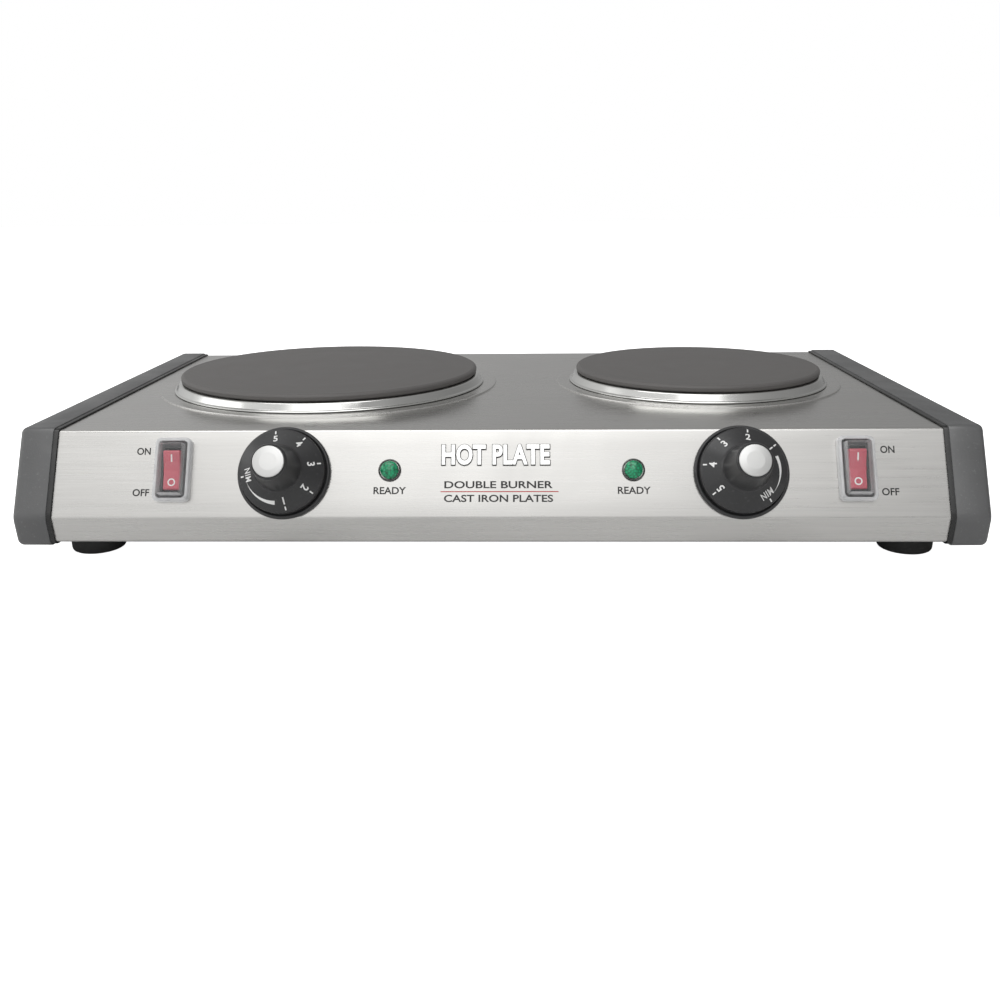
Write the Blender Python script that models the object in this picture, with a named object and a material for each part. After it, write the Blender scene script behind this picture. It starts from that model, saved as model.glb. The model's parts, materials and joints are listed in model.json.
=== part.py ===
"""A counter-top electric hot plate with two cast-iron burners, built as an assembly of separate pieces.

Metres, +Z up. +X is the user's right and +Y points to the back. The origin is on the table, under the
middle of the whole object's box. A folded stainless housing is closed by two plastic end caps and a base
plate; each burner is clamped by a stud and a bridge; each side has a rocker switch, a dial and a lamp.
"""

import math

import bmesh
import bpy
from mathutils import Matrix, Vector

# ---------------------------------------------------------------- driving dimensions, metres
GAP = 0.0003                 # clearance between pieces that touch
SHEET = 0.0008               # stainless sheet
ROUND = 48                   # sides of a large turned piece
KNOB_ROUND = 32              # sides of a dial or a foot
SMALL_ROUND = 16             # sides of a small turned piece

WIDTH = 0.500                # over the end caps
TOP_Z = 0.0674               # top of the folded housing
BOTTOM_Z = 0.0112            # underside of the folded housing
KNEE_Z = 0.0255              # where the sloping control panel meets the lower front
KNEE_Y = -0.1396             # the most forward line of the housing
PANEL_TILT = math.radians(25.0)   # control panel, from the vertical
FRONT_FOOT_Y = -0.1368       # lower front edge
REAR_Y = 0.1384              # outer face of the rear wall
FLANGE_PAST = 0.0125         # bottom flanges, turned inwards, reach this far past the foot screws
BEND = 0.0024                # outer radius of the folds

CAP_SIDE = 0.0204            # width of an end cap that shows
CAP_WALL = 0.0025            # its outer end wall
CAP_OVERLAP = 0.0034         # how far the housing slides into it
CAP_PROUD = 0.0016           # how far the cap stands proud of the housing
CAP_DROP = 0.0020            # and below it
CAP_LIP = 0.0024             # stepped inner lip of the cap
CAP_LIP_PROUD, CAP_LIP_DROP = 0.0010, 0.0014
CAP_ROUND = 0.0026           # rounded outer edges
CAP_ARM_Y = (-0.070, 0.075)  # places of the two snap arms
CAP_ARM = Vector((0.0240, 0.0160, 0.0030))

BASE_GAP_Y = 0.0065          # base plate, inside the housing's front and rear edges
BASE_INSET = 0.0220          # and short of the end caps' outer faces
VENT = Vector((0.0600, 0.0040, 0.0100))
VENT_ROWS = 6
VENT_PITCH = 0.0130

FOOT_X, FOOT_Y = 0.2180, 0.1050
FOOT_AHEAD = 0.0062          # the front pair is this much further out than the rear pair
FOOT_R, FOOT_SOLE_R = 0.0143, 0.0139
FOOT_NECK_R = 0.0078         # above the end caps' undersides, which the feet reach under
FOOT_ROUND = 0.0040
SCREW_R = 0.0019
SCREW_HEAD_R, SCREW_HEAD = 0.0036, 0.0026
SCREW_SINK = 0.0042          # from the table to the screw head
SCREW_HOLE_R = SCREW_R + GAP

LARGE_R, SMALL_R = 0.0940, 0.0768
LARGE_X, SMALL_X = -0.1100, 0.1256
LARGE_Y, SMALL_Y = 0.0150, 0.0190
PLATE_TOP_Z = 0.0781
PLATE_RIM = 0.0042           # thickness of the visible edge
PLATE_DEPTH = 0.0130         # of the whole casting
PLATE_STEP = 0.0050          # from the edge in to the casting's lower wall
PLATE_WALL = 0.0040
PLATE_SKIN = 0.0075          # iron over the heating coil
HUB_R = 0.0160
LEDGE_RISE = 0.0008          # pressed ledge round each burner
LEDGE_REACH = 0.0132         # its outer foot, outside the plate
LEDGE_SLOPE = 0.0025
HOLE_IN = 0.0025             # housing hole, inside the plate's edge
TRIM = 0.0006                # trim ring sheet
TRIM_REACH = 0.0044
TRIM_TUCK = 0.0040           # how far it reaches under the plate
STUD_R, STUD_END_Z = 0.0030, 0.0465
BRIDGE_WIDTH, BRIDGE_DROP, BRIDGE_SHEET = 0.0240, 0.0080, 0.0016
BRIDGE_EAR = 0.0060          # bearing of the bridge on the housing beyond the ledge
NUT_FLATS, NUT_HEIGHT = 0.0100, 0.0050
CERAMIC = Vector((0.0260, 0.0140, 0.0100))
CERAMIC_FORWARD = 0.0340
PIN_R, PIN_LENGTH = 0.0012, 0.0060

CONTROLS_X = 0.0085          # middle of the two control groups
KNOB_OUT, KNOB_UP = 0.1174, 0.0233      # from that middle, and up the panel from the knee
LAMP_OUT, LAMP_UP = 0.0627, 0.0247
SWITCH_OUT, SWITCH_UP = 0.1755, 0.0249

BEZEL_R, BEZEL_HEIGHT = 0.0242, 0.0026
DIAL_R, DIAL_FOOT, DIAL_EDGE = 0.0217, 0.0032, 0.0080
GRIP_FOOT_R, GRIP_FOOT = 0.0117, 0.0142
GRIP_R, GRIP_TOP = 0.0088, 0.0345
DISC_R, DISC_SINK, DISC_THICK = 0.0079, 0.0010, 0.0014
SHAFT_R, SHAFT_IN, SHAFT_OUT = 0.0030, 0.0170, 0.0230
BUSH_R, BUSH_OUT = 0.0048, 0.0022
FRAME = Vector((0.0340, 0.0240, 0.0012))
FRAME_CHEEK = 0.0200         # cheeks of the thermostat frame, behind the panel
STACK = Vector((0.0100, 0.0090, 0.0220))
BLADE = Vector((0.0240, 0.0060, 0.0006))

FLANGE_SIZE = Vector((0.0150, 0.0295, 0.0018))      # rocker switch's front flange
NECK = Vector((0.0124, 0.0266, 0.0200))             # its body behind the panel
POCKET = Vector((0.0100, 0.0232, 0.0112))
TAB = Vector((0.0008, 0.0050, 0.0070))
ROCKER_WIDTH, ROCKER_LENGTH = 0.0086, 0.0206
ROCKER_TOP, ROCKER_DIP, ROCKER_DEEP = 0.0040, 0.0028, 0.0048
ROCKER_TILT = math.radians(10.0)        # each way from level
PIVOT_R, PIVOT_HOLE_R, PIVOT_END = 0.0011, 0.0015, 0.0058
PIVOT_DEPTH = 0.0004         # the rocker's axis, above the panel
LEVER = Vector((0.0052, 0.0150, 0.0008))
LEVER_DEPTH = -0.0074        # the contact lever's axis, from the panel
LEVER_SHARE = 0.4            # of the rocker's turn

BOOT = Vector((0.0188, 0.0334, 0.0040))             # clear cover: rim
BOOT_RIM = 0.0015
BOOT_DECK = 0.0030
DOME = Vector((0.0128, 0.0272, 0.0086))
DOME_WALL = 0.0008
BOOT_CORNER = 0.0030

LAMP_BEZEL_R, LAMP_BEZEL = 0.0059, 0.0016
LENS_R, LENS_HEIGHT, LENS_STEM = 0.0047, 0.0038, 0.0060
LAMP_HOLE_R = 0.0043
HOLDER_R, HOLDER_LENGTH = 0.0058, 0.0140

BADGE = Vector((0.0565, 0.0100, 0.0012))
BADGE_X, BADGE_UP = 0.0006, 0.0326

GLAND_X, GLAND_Z = 0.1500, 0.0400
GLAND_R, GLAND_FLANGE_R, GLAND_FLANGE = 0.0062, 0.0092, 0.0030
GLAND_BORE_R, GLAND_IN = 0.0045, 0.0120
GLAND_NUT_FLATS, GLAND_NUT = 0.0170, 0.0045

SHIELD_Z = 0.0400
SHIELD_INSET = 0.0156        # of its legs, from the edges of the end caps that show
SHIELD_BEARING = 0.0045      # of its legs on the bottom flanges
SHIELD_FOOT = 0.0100
BLOCK = Vector((0.0360, 0.0160, 0.0100))
BLOCK_X, BLOCK_BACK = 0.1250, 0.0264    # middle, from the rear wall's outer face
TOWER_R, TOWER_HEIGHT, TOWER_PITCH = 0.0038, 0.0040, 0.0115
LOOM_R, BRANCH_R = 0.0026, 0.0016

# ---------------------------------------------------------------- places worked out from them
PANEL_HEIGHT = TOP_Z - KNEE_Z
PANEL_LENGTH = PANEL_HEIGHT / math.cos(PANEL_TILT)
FRONT_TOP_Y = KNEE_Y + PANEL_HEIGHT * math.tan(PANEL_TILT)
LARGE_AT, SMALL_AT = (LARGE_X, LARGE_Y), (SMALL_X, SMALL_Y)
OUTLINE = [                  # housing's outer faces, from the rear flange over the top to the front flange
    (REAR_Y, BOTTOM_Z), (REAR_Y, TOP_Z), (FRONT_TOP_Y, TOP_Z), (KNEE_Y, KNEE_Z), (FRONT_FOOT_Y, BOTTOM_Z),
]
HOUSING_HALF = WIDTH / 2 - CAP_SIDE + CAP_OVERLAP
SHIELD_X = WIDTH / 2 - CAP_SIDE - SHIELD_INSET
SHIELD_Y = FOOT_Y - FLANGE_PAST + SHIELD_BEARING
BLOCK_AT = (BLOCK_X, REAR_Y - BLOCK_BACK)
BASE_TOP_Z = BOTTOM_Z - GAP
BASE_Z = BASE_TOP_Z - SHEET
KNOB_FRONT = (KNEE_Y + KNOB_UP * math.sin(PANEL_TILT) - GRIP_TOP * math.cos(PANEL_TILT)
              - GRIP_R * math.sin(PANEL_TILT))
SHIFT_Y = -(KNOB_FRONT + REAR_Y + max(CAP_PROUD, GLAND_FLANGE)) / 2    # brings the box's middle to the origin


# ---------------------------------------------------------------- materials
def material(name, colour, roughness, metallic=0.0, alpha=1.0):
    """A Principled material."""
    made = bpy.data.materials.new(name)
    made.use_nodes = True
    shader = made.node_tree.nodes["Principled BSDF"]
    shader.inputs["Base Color"].default_value = (*colour, 1.0)
    shader.inputs["Roughness"].default_value = roughness
    shader.inputs["Metallic"].default_value = metallic
    shader.inputs["Alpha"].default_value = alpha
    return made


# ---------------------------------------------------------------- shapes
def polygon_prism(points, start, end, axis="z"):
    """A closed 2D outline extruded from start to end along an axis.

    Along z the points are (x, y); along x they are (y, z).
    """
    bm = bmesh.new()
    place = {"z": lambda p, at: (p[0], p[1], at), "x": lambda p, at: (at, p[0], p[1])}[axis]
    face = bm.faces.new([bm.verts.new(place(p, start)) for p in points])
    grown = bmesh.ops.extrude_face_region(bm, geom=[face])
    moved = [v for v in grown["geom"] if isinstance(v, bmesh.types.BMVert)]
    shift = Vector(place((0, 0), end)) - Vector(place((0, 0), start))
    bmesh.ops.translate(bm, verts=moved, vec=shift)
    bmesh.ops.recalc_face_normals(bm, faces=bm.faces)
    return bm


def turned(profile, sides):
    """A closed (radius, height) outline turned about Z."""
    bm = bmesh.new()
    verts = [bm.verts.new((r, 0.0, z)) for r, z in profile]
    edges = [bm.edges.new((a, b)) for a, b in zip(verts, verts[1:] + verts[:1])
             if a.co.x > 0 or b.co.x > 0]
    bmesh.ops.spin(bm, geom=verts + edges, axis=(0, 0, 1), cent=(0, 0, 0),
                   angle=2 * math.pi, steps=sides, use_merge=True)
    bmesh.ops.remove_doubles(bm, verts=bm.verts, dist=1e-6)
    bmesh.ops.recalc_face_normals(bm, faces=bm.faces)
    return bm


def block(size, centre=(0, 0, 0)):
    """A box of that size about centre."""
    bm = bmesh.new()
    bmesh.ops.create_cube(bm, size=1.0)
    bmesh.ops.scale(bm, vec=size, verts=bm.verts)
    bmesh.ops.translate(bm, vec=centre, verts=bm.verts)
    return bm


def rod(radius, start, end, sides=SMALL_ROUND):
    """A round bar between two points."""
    start, end = Vector(start), Vector(end)
    bm = bmesh.new()
    bmesh.ops.create_cone(bm, cap_ends=True, segments=sides, radius1=radius, radius2=radius,
                          depth=(end - start).length)
    turn = (end - start).to_track_quat("Z", "Y").to_matrix().to_4x4()
    bm.transform(Matrix.Translation((start + end) / 2) @ turn)
    return bm


def rounded_rectangle(width, length, radius, steps=3):
    """Points of a rectangle with round corners, about the origin."""
    points = []
    for quarter, (sx, sy) in enumerate(((1, 1), (-1, 1), (-1, -1), (1, -1))):
        for i in range(steps + 1):
            angle = math.pi / 2 * (quarter + i / steps)
            points.append((sx * (width / 2 - radius) + radius * math.cos(angle),
                           sy * (length / 2 - radius) + radius * math.sin(angle)))
    return points


def hexagon(flats):
    """Points of a regular hexagon of that size across its flats."""
    reach = flats / 2 / math.cos(math.pi / 6)
    return [(reach * math.cos(math.pi / 3 * i), reach * math.sin(math.pi / 3 * i)) for i in range(6)]


def offset_outline(points, distances):
    """A closed outline with each side moved outwards by its own distance.

    Side i runs from point i to the next one, and the outline goes round clockwise or not as OUTLINE does.
    """
    lines = []
    for (ay, az), (by, bz), distance in zip(points, points[1:] + points[:1], distances):
        along = Vector((by - ay, bz - az)).normalized()
        outward = Vector((along.y, -along.x))
        lines.append((Vector((ay, az)) + outward * distance, along))
    moved = []
    for (p, d), (q, e) in zip(lines[-1:] + lines[:-1], lines):
        t = ((q - p).x * e.y - (q - p).y * e.x) / (d.x * e.y - d.y * e.x)
        moved.append(tuple(p + d * t))
    return moved


def rounded_outline(points, radius, steps=4):
    """The same outline with an arc of that radius at each corner."""
    made = []
    count = len(points)
    for i, corner in enumerate(points):
        corner = Vector(corner)
        back = (Vector(points[i - 1]) - corner).normalized()
        ahead = (Vector(points[(i + 1) % count]) - corner).normalized()
        half = back.angle(ahead) / 2
        reach = radius / math.tan(half)
        centre = corner + (back + ahead).normalized() * (radius / math.sin(half))
        first, last = corner + back * reach - centre, corner + ahead * reach - centre
        turn = first.angle_signed(last)
        for step in range(steps + 1):
            angle = -turn * step / steps
            spun = Vector((first.x * math.cos(angle) - first.y * math.sin(angle),
                           first.x * math.sin(angle) + first.y * math.cos(angle)))
            made.append(tuple(centre + spun))
    return made


# ---------------------------------------------------------------- objects
def add(name, bm, finish, parent, at=(0, 0, 0), turn=(0, 0, 0)):
    """Makes a mesh object from bm, under parent, and frees bm."""
    mesh = bpy.data.meshes.new(name)
    bm.to_mesh(mesh)
    bm.free()
    mesh.materials.append(finish)
    mesh.shade_smooth()
    mesh.set_sharp_from_angle(angle=math.radians(35))
    made = bpy.data.objects.new(name, mesh)
    bpy.context.scene.collection.objects.link(made)
    made.parent = parent
    made.location = at
    made.rotation_euler = turn
    return made


def helper(name, parent, at=(0, 0, 0), turn=(0, 0, 0)):
    """An empty that other objects hang from."""
    made = bpy.data.objects.new(name, None)
    bpy.context.scene.collection.objects.link(made)
    made.parent = parent
    made.location = at
    made.rotation_euler = turn
    return made


def combine(target, bm, operation):
    """Cuts the shape bm from target, or joins it on, with an exact Boolean in target's own space."""
    cutter = add(f"{target.name}_{operation.lower()}_{len(target.modifiers)}", bm, target.active_material,
                 target)
    cutter.hide_render = True
    cutter.display_type = "WIRE"
    change = target.modifiers.new(cutter.name, "BOOLEAN")
    change.operation = operation
    change.object = cutter
    change.solver = "EXACT"


def cut(target, bm):
    combine(target, bm, "DIFFERENCE")


def join(target, bm):
    combine(target, bm, "UNION")


# ---------------------------------------------------------------- housing, base and end caps
def housing_section():
    """The folded sheet's section as a closed (y, z) outline: outer faces there, inner faces back."""
    closed = rounded_outline(OUTLINE, BEND)
    inner = rounded_outline(offset_outline(OUTLINE, [-SHEET] * len(OUTLINE)), BEND - SHEET)
    arc = len(closed) // len(OUTLINE)
    first, last = closed[0], closed[-1]
    rear_end, front_end = FOOT_Y - FLANGE_PAST, FLANGE_PAST - FOOT_Y
    outer_path = [(rear_end, BOTTOM_Z), *closed, (front_end, BOTTOM_Z)]
    inner_path = [(rear_end, BOTTOM_Z + SHEET), *inner, (front_end, BOTTOM_Z + SHEET)]
    assert arc and first != last
    return outer_path + inner_path[::-1]


def ledge(radius):
    """The pressed ledge round a burner hole: a turned ring whose foot lies inside the sheet's thickness."""
    foot, middle = radius + LEDGE_REACH, TOP_Z - SHEET / 2
    slope = LEDGE_SLOPE / LEDGE_RISE
    high = TOP_Z + LEDGE_RISE
    hole = radius - HOLE_IN
    shoulder = foot - LEDGE_SLOPE
    return turned([(hole, high - SHEET), (hole, high), (shoulder, high),
                   (foot + slope * SHEET / 2, middle), (foot - 1.5 * SHEET, middle),
                   (shoulder - SHEET, high - SHEET)], ROUND)


def make_housing(root, panel, steel):
    """Top, control panel, lower front, rear wall and bottom flanges, folded from one sheet."""
    housing = add("housing", polygon_prism(housing_section(), -HOUSING_HALF, HOUSING_HALF, "x"), steel, root)
    for (x, y), radius in ((LARGE_AT, LARGE_R), (SMALL_AT, SMALL_R)):
        opening = rod(radius + LEDGE_REACH - SHEET, (0, 0, TOP_Z - 0.01), (0, 0, TOP_Z + 0.01), ROUND)
        opening.transform(Matrix.Translation((x, y, 0)) @ Matrix.Rotation(math.pi / ROUND, 4, "Z"))
        cut(housing, opening)
        ring = ledge(radius)
        bmesh.ops.translate(ring, vec=(x, y, 0), verts=ring.verts)
        join(housing, ring)
    through = panel.matrix_basis
    for side in (-1, 1):
        shapes = (
            rod(BUSH_R + GAP, (side * KNOB_OUT, KNOB_UP, -0.01), (side * KNOB_OUT, KNOB_UP, 0.01)),
            rod(LAMP_HOLE_R, (side * LAMP_OUT, LAMP_UP, -0.01), (side * LAMP_OUT, LAMP_UP, 0.01)),
            block((NECK.x + 2 * GAP, NECK.y + 2 * GAP, 0.02), (side * SWITCH_OUT, SWITCH_UP, 0)),
        )
        for shape in shapes:
            shape.transform(through)
            cut(housing, shape)
    cut(housing, rod(GLAND_R + GAP, (GLAND_X, REAR_Y - 0.01, GLAND_Z), (GLAND_X, REAR_Y + 0.01, GLAND_Z)))
    for x, y in foot_places():
        cut(housing, rod(SCREW_HOLE_R, (x, y, BOTTOM_Z - 0.005), (x, y, BOTTOM_Z + 0.005)))
    return housing


def make_base_plate(root, steel):
    """Flat sheet under the flanges, with a set of vent slots below each burner."""
    front, rear = FRONT_FOOT_Y + BASE_GAP_Y, REAR_Y - BASE_GAP_Y
    width = WIDTH - 2 * BASE_INSET
    plate = add("base_plate", block((width, rear - front, SHEET), (0, (front + rear) / 2, BASE_Z + SHEET / 2)),
                steel, root)
    for x, middle in (LARGE_AT, SMALL_AT):
        for row in range(VENT_ROWS):
            y = middle + (row - (VENT_ROWS - 1) / 2) * VENT_PITCH
            cut(plate, block(VENT, (x, y, BASE_Z)))
    for x, y in foot_places():
        cut(plate, rod(SCREW_HOLE_R, (x, y, BASE_Z - 0.005), (x, y, BASE_Z + 0.005)))
    return plate


def make_end_cap(name, side, root, plastic):
    """Hollow plastic cap: a stepped shell that the housing's end slides into, with two snap arms."""
    edge, end = WIDTH / 2 - CAP_SIDE, WIDTH / 2
    proud = [CAP_PROUD] * (len(OUTLINE) - 1) + [CAP_DROP]
    body = rounded_outline(offset_outline(OUTLINE, proud), BEND + CAP_PROUD / 2)
    shell = polygon_prism(body, edge + CAP_LIP, end, "x")
    outer_face = [e for e in shell.edges if all(abs(v.co.x - end) < 1e-6 for v in e.verts)]
    bmesh.ops.bevel(shell, geom=outer_face, offset=CAP_ROUND, segments=3, profile=0.5, affect="EDGES",
                    material=-1)
    lip_proud = [CAP_LIP_PROUD] * (len(OUTLINE) - 1) + [CAP_LIP_DROP]
    lip = polygon_prism(rounded_outline(offset_outline(OUTLINE, lip_proud), BEND + CAP_LIP_PROUD / 2), edge,
                        edge + 2 * CAP_LIP, "x")
    pocket = polygon_prism(rounded_outline(offset_outline(OUTLINE, [GAP] * 4 + [GAP * 2]), BEND), edge - 0.01,
                           end - CAP_WALL, "x")
    arms = [block(CAP_ARM, (end - CAP_WALL - CAP_ARM.x / 2 + GAP, y, TOP_Z - SHEET - 2 * GAP - CAP_ARM.z / 2))
            for y in CAP_ARM_Y]
    if side < 0:
        for bm in (shell, lip, pocket, *arms):
            bmesh.ops.scale(bm, vec=(-1, 1, 1), verts=bm.verts)
            bmesh.ops.reverse_faces(bm, faces=bm.faces)
    cap = add(name, shell, plastic, root)
    join(cap, lip)
    cut(cap, pocket)
    for arm in arms:
        join(cap, arm)
    return cap


def foot_places():
    """The four corners where a foot and its screw are."""
    return [(sx * FOOT_X, y) for y in (-FOOT_Y - FOOT_AHEAD, FOOT_Y) for sx in (-1, 1)]


def make_feet(root, rubber, zinc):
    """Four round rubber feet at the corners, each with a sunk screw into the housing's flange."""
    names = ("front_left", "front_right", "rear_left", "rear_right")
    height, shoulder = BASE_Z - GAP, BOTTOM_Z - CAP_DROP - 2 * GAP
    for name, (x, y) in zip(names, foot_places()):
        recess = SCREW_SINK + SCREW_HEAD + GAP
        head = SCREW_HEAD_R + 2 * GAP
        soft = [(FOOT_SOLE_R - FOOT_ROUND * (1 - math.sin(a)), FOOT_ROUND * (1 - math.cos(a)))
                for a in (math.pi / 6 * i for i in range(4))]
        pad = turned([(head, 0), *soft, (FOOT_R, shoulder - 0.0010), (FOOT_R, shoulder), (FOOT_NECK_R, shoulder),
                      (FOOT_NECK_R, height), (SCREW_HOLE_R, height), (SCREW_HOLE_R, recess), (head, recess)], 24)
        add(f"foot_{name}", pad, rubber, root, (x, y, 0))
        seat = SCREW_SINK + SCREW_HEAD
        screw = turned([(0, SCREW_SINK), (SCREW_HEAD_R * 0.7, SCREW_SINK), (SCREW_HEAD_R, SCREW_SINK + 0.0012),
                        (SCREW_HEAD_R, seat), (SCREW_R, seat), (SCREW_R, BOTTOM_Z + 0.004),
                        (SCREW_R * 0.6, BOTTOM_Z + 0.005), (0, BOTTOM_Z + 0.005)], SMALL_ROUND)
        add(f"foot_screw_{name}", screw, zinc, root, (x, y, 0))


# ---------------------------------------------------------------- burners
def make_burner(size, place, radius, root, finishes):
    """One cast-iron burner with its trim ring, heating coil, cover, stud, nut, bridge and terminal."""
    iron, bright, ceramic, zinc = finishes
    at = (*place, 0)
    top, rim = PLATE_TOP_Z, PLATE_TOP_Z - PLATE_RIM
    low = PLATE_TOP_Z - PLATE_DEPTH
    wall = radius - PLATE_STEP
    roof = PLATE_TOP_Z - PLATE_SKIN
    plate = turned([(0, top), (radius - 0.0008, top), (radius, top - 0.0008), (radius, rim + 0.0004),
                    (radius - 0.0004, rim), (wall, rim), (wall, low), (wall - PLATE_WALL, low),
                    (wall - PLATE_WALL, roof), (HUB_R, roof), (HUB_R, low), (STUD_R + GAP, low),
                    (STUD_R + GAP, roof), (0, roof)], ROUND)
    add(f"burner_plate_{size}", plate, iron, root, at)

    ledge_top = TOP_Z + LEDGE_RISE + GAP
    high = rim - GAP
    foot = radius + TRIM_REACH
    ring = turned([(radius - TRIM_TUCK, high - TRIM), (radius - TRIM_TUCK, high), (radius - 0.0002, high),
                   (radius + 0.0010, high - 0.0006), (foot - 0.0016, ledge_top + 0.0014), (foot, ledge_top + 0.0005),
                   (foot, ledge_top), (foot - 0.0020, ledge_top), (radius + 0.0004, high - TRIM - 0.0008),
                   (radius - 0.0006, high - TRIM)], ROUND)
    add(f"trim_ring_{size}", ring, bright, root, at)

    coil_out, coil_in = wall - PLATE_WALL - GAP, HUB_R + GAP
    coil_top, coil_low = roof - GAP, low + 0.0012
    core = turned([(coil_in, coil_low), (coil_out, coil_low), (coil_out, coil_top), (coil_in, coil_top)], ROUND)
    add(f"heating_coil_{size}", core, ceramic, root, at)

    cover_top = low - GAP
    cover = turned([(STUD_R + GAP, cover_top - SHEET), (wall, cover_top - SHEET), (wall, cover_top),
                    (STUD_R + GAP, cover_top)], ROUND)
    add(f"burner_cover_{size}", cover, zinc, root, at)

    stud = turned([(0, STUD_END_Z), (STUD_R - 0.0006, STUD_END_Z), (STUD_R, STUD_END_Z + 0.0006),
                   (STUD_R, roof - GAP), (0, roof - GAP)], SMALL_ROUND)
    add(f"burner_stud_{size}", stud, zinc, root, at)

    half = radius + LEDGE_REACH + BRIDGE_EAR
    ear_top = TOP_Z - SHEET - GAP
    strap_top = ear_top - BRIDGE_DROP
    ramp = BRIDGE_DROP
    inner = half - 2 * BRIDGE_EAR
    over = [(-half, ear_top), (-inner, ear_top), (-inner + ramp, strap_top), (inner - ramp, strap_top),
            (inner, ear_top), (half, ear_top)]
    under = [(px, pz - BRIDGE_SHEET) for px, pz in over]
    strap = polygon_prism([*over, *under[::-1]], -BRIDGE_WIDTH / 2, BRIDGE_WIDTH / 2, "x")
    strap.transform(Matrix.Rotation(math.pi / 2, 4, "Z"))
    bridge = add(f"clamp_bridge_{size}", strap, zinc, root, at)
    cut(bridge, rod(STUD_R + GAP, (0, 0, strap_top - 0.01), (0, 0, strap_top + 0.01)))

    nut_top = strap_top - BRIDGE_SHEET - GAP
    nut = add(f"stud_nut_{size}", polygon_prism(hexagon(NUT_FLATS), nut_top - NUT_HEIGHT, nut_top), zinc, root, at)
    cut(nut, rod(STUD_R + GAP, (0, 0, nut_top - 0.02), (0, 0, nut_top + 0.01)))

    ceramic_top = cover_top - SHEET - GAP
    middle = Vector((0, -CERAMIC_FORWARD, ceramic_top - CERAMIC.z / 2))
    terminal = add(f"burner_terminal_{size}", block(CERAMIC, middle), ceramic, root, at)
    for step in (-1, 0, 1):
        start = middle + Vector((step * CERAMIC.x / 3, 0, -CERAMIC.z / 2 + 0.001))
        join(terminal, rod(PIN_R, start, start - Vector((0, 0, PIN_LENGTH)), 10))


# ---------------------------------------------------------------- controls, in the panel's own frame
def make_knob(side_name, x, panel, finishes):
    """Dial with its bright end disc, the fixed bezel round it, and the thermostat that it turns."""
    black, bright, zinc, ceramic = finishes
    at = (x, KNOB_UP, 0)
    bore = SHAFT_R + GAP
    dial = turned([(bore, DIAL_FOOT), (DIAL_R, DIAL_FOOT), (DIAL_R - 0.0002, DIAL_EDGE - 0.0006),
                   (DIAL_R - 0.0008, DIAL_EDGE), (GRIP_FOOT_R + 0.0008, GRIP_FOOT - 0.0004),
                   (GRIP_FOOT_R, GRIP_FOOT + 0.0006), (GRIP_R + 0.0002, GRIP_TOP - 0.0008),
                   (GRIP_R - 0.0006, GRIP_TOP), (DISC_R + GAP, GRIP_TOP), (DISC_R + GAP, GRIP_TOP - DISC_SINK),
                   (0, GRIP_TOP - DISC_SINK), (0, SHAFT_OUT + GAP), (bore, SHAFT_OUT + GAP)], KNOB_ROUND)
    add(f"knob_{side_name}", dial, black, panel, at)
    disc_foot = GRIP_TOP - DISC_SINK + GAP
    disc = turned([(0, disc_foot), (DISC_R, disc_foot), (DISC_R, disc_foot + DISC_THICK - 0.0004 - GAP),
                   (DISC_R - 0.0004, GRIP_TOP - DISC_SINK + DISC_THICK),
                   (0, GRIP_TOP - DISC_SINK + DISC_THICK)], KNOB_ROUND)
    add(f"knob_disc_{side_name}", disc, bright, panel, at)
    bezel = turned([(BUSH_R + 2 * GAP, GAP), (BEZEL_R, GAP), (BEZEL_R, BEZEL_HEIGHT - 0.0010),
                    (BEZEL_R - 0.0010, BEZEL_HEIGHT), (BUSH_R + 2 * GAP, BEZEL_HEIGHT)], KNOB_ROUND)
    add(f"knob_bezel_{side_name}", bezel, black, panel, at)

    shaft = turned([(0, -SHAFT_IN), (SHAFT_R, -SHAFT_IN), (SHAFT_R, SHAFT_OUT - 0.0005),
                    (SHAFT_R - 0.0005, SHAFT_OUT), (0, SHAFT_OUT)], SMALL_ROUND)
    add(f"thermostat_shaft_{side_name}", shaft, zinc, panel, at)

    back = -SHEET - GAP
    frame = add(f"thermostat_frame_{side_name}", block(FRAME, (0, 0, back - FRAME.z / 2)), zinc, panel, at)
    for end in (-1, 1):
        cheek_x = end * (FRAME.x / 2 - FRAME.z / 2)
        join(frame, block((FRAME.z, FRAME.y * 0.6, FRAME_CHEEK), (cheek_x, 0, back - FRAME_CHEEK / 2)))
    join(frame, rod(BUSH_R, (0, 0, back - 0.004), (0, 0, BUSH_OUT)))
    cut(frame, rod(SHAFT_R + GAP, (0, 0, back - 0.01), (0, 0, BUSH_OUT + 0.01)))

    stack_x = -FRAME.x / 2 + FRAME.z + GAP + STACK.x / 2
    stack_top = back - FRAME.z - GAP
    stack = add(f"contact_stack_{side_name}", block(STACK, (stack_x, 0, stack_top - STACK.z / 2)), ceramic,
                panel, at)
    for level in (0.0007, 0.0045):
        blade_z = -SHAFT_IN - level - BLADE.z / 2
        join(stack, block(BLADE, (stack_x + BLADE.x / 2 - 0.002, 0, blade_z)))


def rocker_profile():
    """Side view of the rocker, level, as (along the panel, height above its axis)."""
    half = ROCKER_LENGTH / 2
    rounds = [(half * 0.72 * math.cos(a), -ROCKER_DEEP * math.sin(a))
              for a in (math.radians(d) for d in range(25, 156, 26))]
    return [(half, ROCKER_TOP - 0.0012), (half - 0.0006, ROCKER_TOP), (0.0, ROCKER_DIP),
            (-half + 0.0006, ROCKER_TOP), (-half, ROCKER_TOP - 0.0012), (-half, 0.0), *rounds[::-1], (half, 0.0)]


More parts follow.
